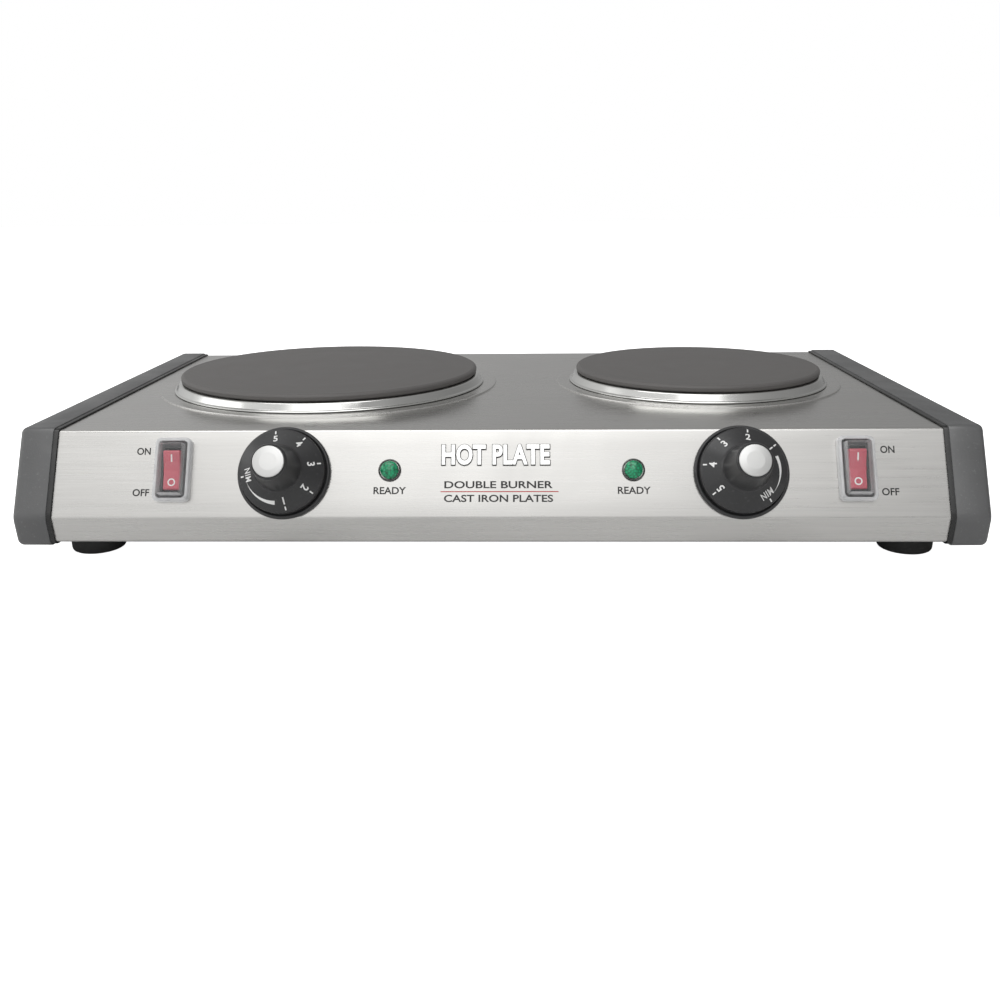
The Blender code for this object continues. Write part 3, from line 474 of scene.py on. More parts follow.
@dataclass(frozen=True)
class Ink:
    """Printed marking, a little uneven."""

    name: str
    thin: Colour
    full: Colour

    def build(self) -> bpy.types.Material:
        """Builds the finish.

        Returns:
            The material.
        """
        board = Board(self.name)
        cover = board.group("speckle", Fineness=2600.0)
        board.feed("Base Color", board.tint(cover.outputs["Height"], self.thin, self.full))
        board.feed("Roughness", board.spread(cover.outputs["Mottle"], 0.35, 0.55))
        return board.material


class Finishes:
    """Every shared material, by the record's slot or by its own name."""

    def __init__(self) -> None:
        """Builds the shader groups and the shared materials."""
        for build in (brushed_group, speckle_group, turned_group, handling_group):
            build()
        black = {"Specular_IOR_Level": 0.5}
        glossy = {"Specular_IOR_Level": 0.9}
        recipes = [
            BrushedSteel("brushed_stainless"),
            Plated("zinc_plated_steel"),
            Plated("brass", (0.55, 0.36, 0.12), (0.75, 0.54, 0.24), (0.22, 0.36)),
            Moulded("grained_black_plastic", (0.060, 0.061, 0.062), (0.098, 0.099, 0.100), (0.34, 0.48), 1300.0,
                    0.45, 0.03, glossy),
            Moulded("dial_black_plastic", (0.022, 0.022, 0.023), (0.034, 0.034, 0.035), (0.28, 0.38), 2600.0,
                    0.12, 0.02, black),
            # painted shade: a near-black plastic, far darker than the caps' own, for the shaded groove of each cap's
            # lip and the shadow outline under the badge letters
            Moulded("black_lip", (0.010, 0.010, 0.010), (0.018, 0.018, 0.018), (0.22, 0.34), 2600.0, 0.10, 0.02,
                    black),
            Moulded("black_rubber", (0.008, 0.008, 0.008), (0.016, 0.016, 0.015), (0.62, 0.80), 900.0, 0.30, 0.02),
            Moulded("red_rocker", (0.45, 0.046, 0.080), (0.57, 0.078, 0.115), (0.16, 0.28), 2200.0, 0.05, 0.04,
                    {"Coat_Weight": 0.5, "Subsurface_Weight": 0.15, "Subsurface_Scale": 0.002}),
            Moulded("steatite", (0.70, 0.67, 0.60), (0.82, 0.79, 0.72), (0.55, 0.72), 1200.0, 0.25, 0.02),
            Moulded("white_nylon", (0.72, 0.72, 0.69), (0.84, 0.84, 0.82), (0.40, 0.55), 1500.0, 0.15, 0.01),
            Moulded("wire_sleeve", (0.20, 0.030, 0.025), (0.38, 0.070, 0.055), (0.60, 0.80), 700.0, 0.5, 0.03),
            ClearSkin("clear_silicone"),
            ClearSkin("clear_rim", 0.48, 0.96),
            LampLens("green_lens"),
            Ink("white_print", (0.74, 0.74, 0.73), (0.88, 0.88, 0.87)),
            Ink("grey_print", (0.012, 0.012, 0.012), (0.030, 0.029, 0.029)),
            Ink("red_print", (0.40, 0.045, 0.040), (0.56, 0.090, 0.080)),
            PolishedSteel("polished_steel", Vector((0, 0, 0)), depth=0.03),
        ]
        self.by_name = {recipe.name: recipe.build() for recipe in recipes}

    def __getitem__(self, name: str) -> bpy.types.Material:
        """The material of that name."""
        return self.by_name[name]

    def dress_frame(self) -> None:
        """Gives every node of the frame the material of its slot in the record."""
        slots = {part["node"]: part["material_slot"] for part in frame["record"]["subparts"]}
        for name, node in frame["nodes"].items():
            if slots[name] in self.by_name:
                node.data.materials.clear()
                node.data.materials.append(self[slots[name]])


# ------------------------------------------------------------------------------------------ shapes
def softened(points: Outline, radii: list[float], steps: int = 5, closed: bool = False) -> Outline:
    """Rounds the corners of an outline.

    Args:
        points: its corners.
        radii: each corner's radius; the shorter neighbour limits it.
        steps: arcs' steps.
        closed: whether the last corner joins the first.

    Returns:
        The outline with arcs in place of its corners.
    """
    made: Outline = []
    count = len(points)
    for index, (corner, radius) in enumerate(zip(points, radii)):
        at = Vector(corner)
        if radius <= 0 or (not closed and index in (0, count - 1)):
            made.append(tuple(at))
            continue
        back, ahead = Vector(points[index - 1]) - at, Vector(points[(index + 1) % count]) - at
        half = back.angle(ahead) / 2
        reach = min(radius / math.tan(half), 0.49 * back.length, 0.49 * ahead.length)
        first, last = at + back.normalized() * reach, at + ahead.normalized() * reach
        for step in range(steps + 1):
            share = step / steps
            low, high = first.lerp(at, share), at.lerp(last, share)
            made.append(tuple(low.lerp(high, share)))
    return made


def spun(profile: Outline, steps: int = 128) -> bmesh.types.BMesh:
    """Spins a closed (radius, height) profile about Z.

    Args:
        profile: the outline, anticlockwise or not.
        steps: steps of the full turn.

    Returns:
        The closed shape.
    """
    bm = bmesh.new()
    verts = [bm.verts.new((radius, 0.0, height)) for radius, height in profile]
    pairs = zip(verts, verts[1:] + verts[:1])
    edges = [bm.edges.new(pair) for pair in pairs if max(v.co.x for v in pair) > 1e-9]
    bmesh.ops.spin(bm, geom=verts + edges, axis=(0, 0, 1), cent=(0, 0, 0), angle=FULL_TURN, steps=steps,
                   use_merge=True)
    bmesh.ops.remove_doubles(bm, verts=bm.verts, dist=1e-7)
    bmesh.ops.recalc_face_normals(bm, faces=bm.faces)
    return bm


def fresh_verts(grown: dict) -> list[bmesh.types.BMVert]:
    """The corners that an extrusion has added."""
    return [part for part in grown["geom"] if isinstance(part, bmesh.types.BMVert)]


def drawn(outline: Outline, start: float, end: float) -> bmesh.types.BMesh:
    """Extrudes an outline along X.

    Args:
        outline: its corners as (y, z), closed.
        start: where the bar begins along X.
        end: where it ends.

    Returns:
        The closed bar.
    """
    bm = bmesh.new()
    face = bm.faces.new([bm.verts.new((start, y, z)) for y, z in outline])
    grown = bmesh.ops.extrude_face_region(bm, geom=[face])
    bmesh.ops.translate(bm, verts=fresh_verts(grown), vec=(end - start, 0, 0))
    bmesh.ops.recalc_face_normals(bm, faces=bm.faces)
    return bm


def peg(radius: float, depth: float = CUT_DEPTH, steps: int = 32) -> bmesh.types.BMesh:
    """Makes a round bar along Z with its middle at the origin.

    Args:
        radius: its radius.
        depth: its length.
        steps: its number of sides.

    Returns:
        The closed bar.
    """
    bm = bmesh.new()
    bmesh.ops.create_cone(bm, cap_ends=True, segments=steps, radius1=radius, radius2=radius, depth=depth)
    return bm


def slab(size: Vector, corner: float, steps: int = 5) -> bmesh.types.BMesh:
    """Makes a block that stands on the plane z = 0.

    Args:
        size: its size along each axis.
        corner: the radius of its upright edges.
        steps: those edges' steps.

    Returns:
        The closed block.
    """
    bm = bmesh.new()
    bmesh.ops.create_cube(bm, size=1.0)
    bmesh.ops.scale(bm, vec=size, verts=bm.verts)
    bmesh.ops.translate(bm, vec=(0, 0, size.z / 2), verts=bm.verts)
    upright = [edge for edge in bm.edges if abs(edge.verts[0].co.z - edge.verts[1].co.z) > size.z / 2]
    bmesh.ops.bevel(bm, geom=upright, offset=corner, segments=steps, profile=0.5, affect="EDGES", material=-1)
    return bm


def round_off(bm: bmesh.types.BMesh, edges: list, radius: float, steps: int = 3) -> None:
    """Rounds edges of a shape.

    Args:
        bm: the shape.
        edges: its edges that are rounded.
        radius: how far the rounding reaches from each edge.
        steps: the rounding's steps.
    """
    bmesh.ops.bevel(bm, geom=edges, offset=radius, segments=steps, profile=0.5, affect="EDGES", material=-1,
                    clamp_overlap=True)


def rim_edges(bm: bmesh.types.BMesh, height: float, axis: int = 2) -> list:
    """Finds the edges round a flat face.

    Args:
        bm: the shape.
        height: the face's place along the axis.
        axis: the axis that the face is square to: 0, 1 or 2.

    Returns:
        The edges that bound the face.
    """
    flat = [edge for edge in bm.edges if all(abs(v.co[axis] - height) < 1e-6 for v in edge.verts)]
    level = [face for face in bm.faces if all(abs(v.co[axis] - height) < 1e-6 for v in face.verts)]
    return [edge for edge in flat if sum(face in level for face in edge.link_faces) == 1]


def joined(parts: list[bmesh.types.BMesh]) -> bmesh.types.BMesh:
    """Puts several shapes in one.

    Args:
        parts: the shapes, which are freed.

    Returns:
        The one that holds them all.
    """
    whole = bmesh.new()
    for part in parts:
        held = bpy.data.meshes.new("held")
        part.to_mesh(held)
        part.free()
        whole.from_mesh(held)
        bpy.data.meshes.remove(held)
    return whole


def lettering(words: str, height: float, depth: float, widen: float = 1.0, spacing: float = 1.0,
              bold: float = 0.0) -> bmesh.types.BMesh:
    """Raised words, centred on the origin, reading along X with their tops towards Y.

    Args:
        words: what they say.
        height: of a capital letter.
        depth: how far they rise along Z.
        widen: their width over the font's own.
        spacing: the gap between letters over the font's own.
        bold: how much each stroke grows.

    Returns:
        The words' shape.
    """
    curve = bpy.data.curves.new("words", "FONT")
    curve.body = words
    curve.align_x = "CENTER"
    curve.align_y = "CENTER"
    curve.space_character = spacing
    curve.size = height / CAPITAL
    curve.offset = bold
    curve.extrude = depth / 2
    curve.resolution_u = 4
    holder = bpy.data.objects.new("words", curve)
    mesh = bpy.data.meshes.new_from_object(holder)
    bpy.data.objects.remove(holder)
    bpy.data.curves.remove(curve)
    bm = bmesh.new()
    bm.from_mesh(mesh)
    bpy.data.meshes.remove(mesh)
    bmesh.ops.remove_doubles(bm, verts=bm.verts, dist=1e-7)
    low = Vector([min(v.co[i] for v in bm.verts) for i in range(3)])
    high = Vector([max(v.co[i] for v in bm.verts) for i in range(3)])
    middle = (low + high) / 2
    bmesh.ops.translate(bm, vec=(-middle.x, -middle.y, -low.z), verts=bm.verts)
    bmesh.ops.scale(bm, vec=(widen, 1, 1), verts=bm.verts)
    return bm


def fitted(bm: bmesh.types.BMesh, room: Vector) -> bmesh.types.BMesh:
    """Stretches a flat shape so that it fills a width and a height.

    Args:
        bm: the shape, centred on the origin.
        room: the width and the height, as x and y.

    Returns:
        The same shape.
    """
    for axis in (0, 1):
        reach = max(v.co[axis] for v in bm.verts) - min(v.co[axis] for v in bm.verts)
        share = Vector((1, 1, 1))
        share[axis] = room[axis] / reach
        bmesh.ops.scale(bm, vec=share, verts=bm.verts)
    return bm


def piece(name: str, bm: bmesh.types.BMesh, finish: bpy.types.Material, body: str = STATIC,
          at: Matrix | None = None, stands_for: tuple[str, ...] = (),
          crease: float = 38.0) -> bpy.types.Object:
    """Makes a finished piece whose object sits at the origin and whose place is in its mesh.

    Args:
        name: the piece's name.
        bm: its shape, which is freed.
        finish: its material.
        body: the frame's body that it rides on.
        at: where its shape goes.
        stands_for: the frame's nodes that it replaces.
        crease: the angle between faces, in degrees, from which an edge is sharp.

    Returns:
        The piece's object.
    """
    if at is not None:
        bm.transform(at)
    mesh = bpy.data.meshes.new(name)
    bm.to_mesh(mesh)
    bm.free()
    mesh.materials.append(finish)
    mesh.shade_smooth()
    mesh.set_sharp_from_angle(angle=math.radians(crease))
    made = bpy.data.objects.new(name, mesh)
    bpy.context.scene.collection.objects.link(made)
    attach(made, body)
    if stands_for:
        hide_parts(*stands_for)
    LOG.info("%s rides on %s", name, body)
    return made


def hole(target: bpy.types.Object, bm: bmesh.types.BMesh, at: Matrix | None = None) -> None:
    """Cuts a shape out of a piece, once and for all.

    Args:
        target: the piece's object.
        bm: the shape, which is freed.
        at: where the shape goes, when it isn't in place yet.
    """
    if at is not None:
        bm.transform(at)
    mesh = bpy.data.meshes.new("cutter")
    bm.to_mesh(mesh)
    bm.free()
    cutter = bpy.data.objects.new("cutter", mesh)
    bpy.context.scene.collection.objects.link(cutter)
    change = target.modifiers.new("hole", "BOOLEAN")
    change.object = cutter
    change.solver = "EXACT"
    graph = bpy.context.evaluated_depsgraph_get()
    result = bpy.data.meshes.new_from_object(target.evaluated_get(graph))
    target.modifiers.clear()
    old, target.data = target.data, result
    bpy.data.meshes.remove(old)
    bpy.data.objects.remove(cutter)
    bpy.data.meshes.remove(mesh)


def box_of(node: str) -> tuple[Vector, Vector]:
    """The lowest and the highest corner of a frame node's box."""
    low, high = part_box(node)
    return Vector(low), Vector(high)


def middle_of(node: str) -> Vector:
    """The middle of a frame node's box."""
    return sum(box_of(node), Vector()) / 2


def joint_of(name: str) -> dict:
    """The frame's record of one joint."""
    return next(joint for joint in frame["joints"] if joint["name"] == name)


# ------------------------------------------------------------------------------------------ layout
class Panel:
    """The sloping control panel: x to the right, y up the panel from the dials' line, z out of it."""

    def __init__(self) -> None:
        """Reads the panel's slope and the dials' line from the left dial's joint."""
        joint = joint_of("knob_left_turn")
        axis = Vector(joint["axis"]).normalized()
        self.tilt = math.atan2(axis.z, -axis.y)
        self.origin = Vector((0.0, joint["pos_m"][1], joint["pos_m"][2]))
        self.turn = math.pi / 2 - self.tilt

    def at(self, x: float, up: float = 0.0, out: float = 0.0, roll: float = 0.0) -> Matrix:
        """Where a shape goes that stands on the panel.

        Args:
            x: its place along the panel, in the frame's X.
            up: its place up the panel from the dials' line.
            out: its height over the panel.
            roll: its anticlockwise turn as seen from the front, in radians.

        Returns:
            The matrix from the shape's own axes to the frame's.
        """
        tip = Matrix.Rotation(self.turn, 4, "X")
        return (Matrix.Translation(self.origin) @ tip @ Matrix.Translation((x, up, out))
                @ Matrix.Rotation(roll, 4, "Z"))

    def up_of(self, point: Vector) -> float:
        """How far up the panel a point is from the dials' line."""
        away = point - self.origin
        return away.y * math.sin(self.tilt) + away.z * math.cos(self.tilt)


# ------------------------------------------------------------------------------------------ housing
@dataclass
class Housing:
    """Folded sheet: deck, control panel, lower front, rear wall and flanges, with a pressed ledge per burner."""

    panel: Panel
    finishes: Finishes
    dial_rise: float = 0.0233
    tuck: float = 0.0028
    bend: float = 0.0026
    flange: float = 0.0310
    ledge_reach: float = 0.0132
    ledge_rise: float = 0.0008
    ledge_slope: float = 0.0016
    hole_in: float = 0.0025
    shaft_hole: float = 0.0052
    lamp_hole: float = 0.0044
    switch_hole: tuple[float, float, float] = (0.0132, 0.0274, CUT_DEPTH)
    gland_hole: float = 0.0066
    low: Vector = field(init=False)
    high: Vector = field(init=False)

    def __post_init__(self) -> None:
        """Reads the housing's box."""
        self.low, self.high = box_of("housing")
        self.top = self.high.z - self.ledge_rise

    def corners(self, proud: float = 0.0, drop: float = 0.0) -> Outline:
        """The side view's corners, from the rear foot over the top to the front foot.

        Args:
            proud: how far each side but the lowest is moved outwards.
            drop: how far the lowest is.

        Returns:
            The five corners as (y, z).
        """
        tilt = self.panel.tilt
        origin = self.panel.origin
        knee_y = origin.y - self.dial_rise * math.sin(tilt)
        knee_z = origin.z - self.dial_rise * math.cos(tilt)
        slope = math.tan(tilt)
        lean = self.tuck / (knee_z - self.low.z)
        top, bottom = self.top + proud, self.low.z - drop
        shift = proud / math.cos(tilt)
        shift_low = proud * math.hypot(1, lean)
        meet = (shift - shift_low) / (slope + lean)
        return [(self.high.y + proud, bottom), (self.high.y + proud, top),
                (knee_y - shift + (top - knee_z) * slope, top),
                (knee_y - shift + meet * slope, knee_z + meet),
                (knee_y - shift_low + (knee_z - bottom) * lean, bottom)]

    def shell(self) -> bpy.types.Object:
        """Folds the sheet, still without its holes.

        Returns:
            The housing's object.
        """
        corners = self.corners()
        chain = [(self.high.y - self.flange, self.low.z), *corners, (corners[-1][0] + self.flange, self.low.z)]
        outer = softened(chain, [0] + [self.bend] * 5 + [0], 6)
        bm = bmesh.new()
        verts = [bm.verts.new((self.low.x, y, z)) for y, z in outer]
        edges = [bm.edges.new(pair) for pair in zip(verts, verts[1:])]
        grown = bmesh.ops.extrude_edge_only(bm, edges=edges)
        bmesh.ops.translate(bm, verts=fresh_verts(grown), vec=(self.high.x - self.low.x, 0, 0))
        bmesh.ops.recalc_face_normals(bm, faces=bm.faces)
        made = piece("housing_shell", bm, self.finishes["brushed_stainless"], stands_for=("housing",))
        deck = max(made.data.polygons, key=lambda face: face.center.z)
        if deck.normal.z < 0:
            made.data.flip_normals()
        thick = made.modifiers.new("sheet", "SOLIDIFY")
        thick.thickness = SHEET
        thick.offset = -1.0
        return made

    def cut_burners(self, shell: bpy.types.Object, burners: list["Burner"]) -> None:
        """Opens the deck as far as each pressed ledge's foot.

        Args:
            shell: the housing's object.
            burners: the burners that sit in the deck.
        """
        for burner in burners:
            disc = peg(burner.radius + self.ledge_reach, steps=RING_STEPS)
            hole(shell, disc, Matrix.Translation((burner.centre.x, burner.centre.y, self.top)))

    def cut_controls(self, shell: bpy.types.Object, dials: list["Dial"], switches: list["Switch"],
                     lamps: list["Lamp"]) -> None:
        """Cuts the holes that the shafts, lamps, switch bodies and cord gland pass through.

        Args:
            shell: the housing's object.
            dials: the dials on the panel.
            switches: the switches on the panel.
            lamps: the lamps on the panel.
        """
        for dial in dials:
            hole(shell, peg(self.shaft_hole), self.panel.at(dial.x))
        for lamp in lamps:
            hole(shell, peg(self.lamp_hole), self.panel.at(lamp.x, lamp.up))
        for switch in switches:
            bm = bmesh.new()
            bmesh.ops.create_cube(bm, size=1.0)
            bmesh.ops.scale(bm, vec=self.switch_hole, verts=bm.verts)
            hole(shell, bm, self.panel.at(switch.x, switch.up))
        gland = middle_of("cord_gland")
        hole(shell, peg(self.gland_hole),
             Matrix.Translation((gland.x, self.high.y, gland.z)) @ Matrix.Rotation(math.pi / 2, 4, "X"))

    def ledge(self, burner: "Burner") -> None:
        """Presses the ledge: an S-shaped rise, a flat shelf and the hole's rolled edge.

        Args:
            burner: the burner that sits in it.
        """
        foot = burner.radius + self.ledge_reach
        shelf = foot - self.ledge_slope
        mouth = burner.radius - self.hole_in
        high, low = self.top + self.ledge_rise, self.top
        path = [(foot, low - SHEET), (foot, low), (foot - 0.0006, low), (shelf + 0.0009, high - 0.00006),
                (shelf - 0.0004, high), (mouth + 0.0006, high), (mouth, high - 0.0006), (mouth, high - 0.0024),
                (mouth + SHEET, high - 0.0024), (mouth + SHEET, high - SHEET), (shelf - SHEET, high - SHEET),
                (foot - 2 * SHEET, low - SHEET)]
        radii = [0, 0, 0.0005, 0.0005, 0.0004, 0.0006, 0.0004, 0, 0, 0, 0, 0]
        piece(f"deck_ledge_{burner.size.value}", spun(softened(path, radii, 5), RING_STEPS),
              self.finishes["brushed_stainless"], at=Matrix.Translation((burner.centre.x, burner.centre.y, 0)))


# ------------------------------------------------------------------------------------------ end caps
@dataclass
class EndCap:
    """Hollow grained plastic cap with a stepped inner lip; the lip is a darker plastic that paints the shade in the
    cap's inner groove.
    """

    side: Side
    housing: Housing
    finishes: Finishes
    shows: float = 0.0204
    proud: float = 0.0016
    drop: float = 0.0020
    lip: float = 0.0024
    lip_proud: float = 0.0010
    wall: float = 0.0025
    radii: tuple[float, ...] = (0.0045, 0.0040, 0.0040, 0.0090, 0.0055)

    def build(self) -> None:
        """The cap and, as a second piece, its stepped lip band, each hollowed with a pocket for the housing's end."""
        sign = self.side.value
        low, high = box_of(f"end_cap_{self.side.word}")
        end = low.x if sign < 0 else high.x
        edge = end - sign * self.shows
        outer = softened(self.housing.corners(self.proud, self.drop), list(self.radii), 8, closed=True)
        body = drawn(outer, edge + sign * self.lip, end)
        round_off(body, rim_edges(body, end, axis=0), 0.0030, 5)
        round_off(body, rim_edges(body, edge + sign * self.lip, axis=0), 0.0004, 2)
        step = softened(self.housing.corners(self.lip_proud, self.drop - 0.0006), list(self.radii), 8, closed=True)
        band = drawn(step, edge, edge + sign * 2 * self.lip)
        round_off(band, rim_edges(band, edge, axis=0), 0.0003, 2)
        cap = piece(f"cap_{self.side.word}", body, self.finishes["grained_black_plastic"],
                    stands_for=(f"end_cap_{self.side.word}",))
        # the lip band takes the near-black finish as painted shade for the groove between the cap and the housing
        lip = piece(f"cap_lip_{self.side.word}", band, self.finishes["black_lip"])
        inner = softened(self.housing.corners(GAP, 2 * GAP), [self.housing.bend] * 5, 4, closed=True)
        for made in (cap, lip):
            hole(made, drawn(inner, edge - sign * CUT_DEPTH, end - sign * self.wall))
            made.data.set_sharp_from_angle(angle=math.radians(30))


# ------------------------------------------------------------------------------------------ burners
@dataclass
class Burner:
    """Cast-iron plate with its trim ring."""

    size: Size
    finishes: Finishes
    edge: float = 0.0042
    trim_reach: float = 0.0044
    trim_tuck: float = 0.0040
    trim: float = 0.0006
    ledge_gap: float = 0.0011

    def __post_init__(self) -> None:
        """Reads the plate's place and radius."""
        low, high = box_of(f"burner_plate_{self.size.value}")
        self.centre = (low + high) / 2
        self.radius = (high.x - low.x) / 2
        self.top, self.low = high.z, low.z
        self.place = Matrix.Translation((self.centre.x, self.centre.y, 0))

    def plate(self) -> None:
        """The casting: flat turned top, chamfered edge, undercut and hollow underside."""
        top, radius = self.top, self.radius
        rim = top - self.edge
        wall = radius - 0.005
        roof = top - 0.0075
        path = [(0, top), (0.012, top), (radius - 0.0017, top), (radius - 0.0005, top - 0.0007),
                (radius, top - 0.0016), (radius - 0.0001, rim + 0.0009), (radius - 0.0010, rim), (wall, rim),
                (wall, self.low), (wall - 0.004, self.low), (wall - 0.004, roof), (0.0160, roof),
                (0.0160, self.low), (0.0033, self.low), (0.0033, roof), (0, roof)]
        radii = [0, 0, 0.0004, 0.0004, 0.0004, 0.0006, 0.0005, 0.0004, 0, 0, 0, 0, 0, 0, 0, 0]
        iron = CastIron(f"coated_iron_{self.size.value}", self.centre).build()
        piece(f"iron_plate_{self.size.value}", spun(softened(path, radii, 3), RING_STEPS), iron, at=self.place,
              stands_for=(f"burner_plate_{self.size.value}",))

    def ring(self, deck: float) -> None:
        """Makes the bright skirt between the plate and the ledge.

        Args:
            deck: the deck's height.
        """
        high = self.top - self.edge - GAP
        shelf = deck + self.ledge_gap
        foot = self.radius + self.trim_reach
        path = [(self.radius - self.trim_tuck, high - self.trim), (self.radius - self.trim_tuck, high),
                (self.radius - 0.0004, high), (self.radius + 0.0012, high - 0.0003),
                (foot - 0.0012, shelf + 0.0011), (foot - 0.0004, shelf + 0.0008), (foot, shelf + 0.0004),
                (foot, shelf), (foot - 0.0020, shelf), (self.radius + 0.0004, high - self.trim - 0.0008),
                (self.radius - 0.0006, high - self.trim)]
        radii = [0, 0, 0.0008, 0.0014, 0.0008, 0.0003, 0.0002, 0, 0, 0.0006, 0.0006]
        bright = PolishedSteel(f"ring_steel_{self.size.value}", self.centre, rough=(0.12, 0.24)).build()
        piece(f"plate_ring_{self.size.value}", spun(softened(path, radii, 5), RING_STEPS), bright, at=self.place,
              stands_for=(f"trim_ring_{self.size.value}",))


# ------------------------------------------------------------------------------------------ dials
@dataclass
class Dial:
    """Turning dial with numerals, a conical grip and a bright end disc, over its fixed bezel."""

    side: Side
    panel: Panel
    finishes: Finishes
    radius: float = 0.0219
    foot: float = 0.0032
    edge: float = 0.0080
    grip_foot: tuple[float, float] = (0.0117, 0.0142)
    grip_top: tuple[float, float] = (0.0088, 0.0345)
    disc_radius: float = 0.0079
    bezel_radius: float = 0.0242
    bezel_height: float = 0.0026
    step: float = 45.0
    least_at: float = 270.0
    marks: tuple[str, ...] = ("5", "4", "3", "2", "1")
    mark_at: float = 0.0162
    tick_at: float = 0.0198
    mark_height: float = 0.0041
    paint: float = 0.00014
    seat: float = 0.00002

    def __post_init__(self) -> None:
        """Reads the dial's place, and how far it is turned at rest from its highest setting."""
        joint = joint_of(f"knob_{self.side.word}_turn")
        self.x = joint["pos_m"][0]
        self.rest = -math.radians(joint["range_deg"][0])
        self.body = f"dial_{self.side.word}"

    def face_height(self, radius: float) -> float:
        """Works out where the conical face is.

        Args:
            radius: the distance from the dial's axis.

        Returns:
            The face's height over the panel there.
        """
        outer, inner = self.radius - 0.0008, self.grip_foot[0] + 0.0008
        share = (outer - radius) / (outer - inner)
        return self.edge + share * (self.grip_foot[1] - 0.0004 - self.edge)

    def knob(self) -> None:
        """Skirt, conical face and grip."""
        grip_r, grip_z = self.grip_foot
        tip_r, tip_z = self.grip_top
        sink = tip_z - 0.0010
        path = [(0.0033, self.foot), (self.radius - 0.0004, self.foot), (self.radius, self.foot + 0.0004),
                (self.radius - 0.0002, self.edge - 0.0005), (self.radius - 0.0008, self.edge),
                (grip_r + 0.0008, grip_z - 0.0004), (grip_r, grip_z + 0.0006), (tip_r + 0.0002, tip_z - 0.0008),
                (tip_r - 0.0005, tip_z), (self.disc_radius + GAP, tip_z), (self.disc_radius + GAP, sink),
                (0, sink), (0, 0.0233), (0.0033, 0.0233)]
        radii = [0, 0.0003, 0.0003, 0.0006, 0.0004, 0.0010, 0.0008, 0.0008, 0.0003, 0.0001, 0, 0, 0, 0]
        piece(f"dial_{self.side.word}_knob", spun(softened(path, radii, 4), 144), self.finishes["dial_black_plastic"],
              self.body, self.panel.at(self.x), (f"knob_{self.side.word}",))

    def disc(self) -> None:
        """The satin disc set in the grip's end."""
        base = self.grip_top[1] - 0.0010 + GAP
        reach = self.disc_radius
        path = [(0, base), (reach, base), (reach, base + 0.0009), (reach - 0.0003, base + 0.0013),
                (reach * 0.55, base + 0.00155), (0, base + 0.0016)]
        radii = [0, 0, 0.0003, 0.0003, 0.002, 0]
        satin = PolishedSteel(f"disc_steel_{self.side.word}", self.panel.at(self.x).translation, self.panel.turn,
                              (0.70, 0.70, 0.69), (0.34, 0.40), 0.03).build()
        piece(f"dial_{self.side.word}_disc", spun(softened(path, radii, 4), 96), satin, self.body,
              self.panel.at(self.x), (f"knob_disc_{self.side.word}",))

    def bezel(self) -> None:
        """The fixed dished ring on the panel."""
        reach, high = self.bezel_radius, self.bezel_height
        path = [(0.0054, GAP), (reach, GAP), (reach, high - 0.0009), (reach - 0.0007, high), (reach - 0.0014, high),
                (reach - 0.0022, high - 0.0006), (0.0054, high - 0.0008)]
        radii = [0, 0.0002, 0.0005, 0.0004, 0.0004, 0.0006, 0]
        piece(f"dial_{self.side.word}_bezel", spun(softened(path, radii, 4), 144),
              self.finishes["dial_black_plastic"], at=self.panel.at(self.x),
              stands_for=(f"knob_bezel_{self.side.word}",))

    def numerals(self) -> None:
        """Painted numerals, ticks and the swelling low-heat band, seated on the conical face."""
        parts = []
        slope = math.atan2(self.face_height(0.0130) - self.face_height(0.0200), 0.0070)
        labels = [(mark, index * self.step) for index, mark in enumerate(self.marks)] + [("MIN", self.least_at)]
        for mark, clockwise in labels:
            turn = Matrix.Rotation(self.rest - math.radians(clockwise), 4, "Z")
            widen, spacing, bold = (0.92, 1.0, 0.00012) if len(mark) == 1 else (0.66, 1.12, 0.00006)
            words = lettering(mark, self.mark_height, self.paint, widen, spacing, bold)
            tick = slab(Vector((0.00072, 0.0021, self.paint)), 0.0001, 2)
            for part, reach in ((words, self.mark_at), (tick, self.tick_at)):
                part.transform(turn @ Matrix.Translation((0, reach, self.face_height(reach) - self.seat))
                               @ Matrix.Rotation(-slope, 4, "X"))
                parts.append(part)
        parts.append(self.band())
        piece(f"dial_{self.side.word}_numerals", joined(parts), self.finishes["white_print"], self.body,
              self.panel.at(self.x))

    def band(self) -> bmesh.types.BMesh:
        """Paints the white band that swells from the least setting towards the first number.

        Returns:
            The band's shape, in the dial's own axes.
        """
        start, end = 196.0, 258.0
        outer, thick = 0.0180, 0.0019
        bm = bmesh.new()
        verts = [bm.verts.new((0, outer - thick, 0)), bm.verts.new((0, outer, 0))]
        edge = bm.edges.new(verts)
        first = self.rest - math.radians(start)
        bmesh.ops.rotate(bm, verts=bm.verts, matrix=Matrix.Rotation(first, 3, "Z"), cent=(0, 0, 0))
        sweep = math.radians(end - start)
        bmesh.ops.spin(bm, geom=[*verts, edge], axis=(0, 0, 1), cent=(0, 0, 0), angle=-sweep, steps=28,
                       use_duplicate=False)
        for vert in bm.verts:
            flat = Vector((vert.co.x, vert.co.y))
            around = (first - (math.atan2(flat.y, flat.x) - math.pi / 2)) % FULL_TURN
            left = max(0.06, 1 - around / sweep) if around < FULL_TURN / 2 else 1.0
            reach = outer if flat.length > outer - thick / 2 else outer - thick * left
            flat = flat.normalized() * reach
            vert.co = (flat.x, flat.y, self.face_height(reach) + self.paint - 2 * self.seat)
        bmesh.ops.recalc_face_normals(bm, faces=bm.faces)
        if bm.faces[0].normal.z < 0:
            bmesh.ops.reverse_faces(bm, faces=bm.faces)
        grown = bmesh.ops.extrude_face_region(bm, geom=list(bm.faces))
        bmesh.ops.translate(bm, verts=fresh_verts(grown), vec=(0, 0, -self.paint))
        bmesh.ops.recalc_face_normals(bm, faces=bm.faces)
        return bm


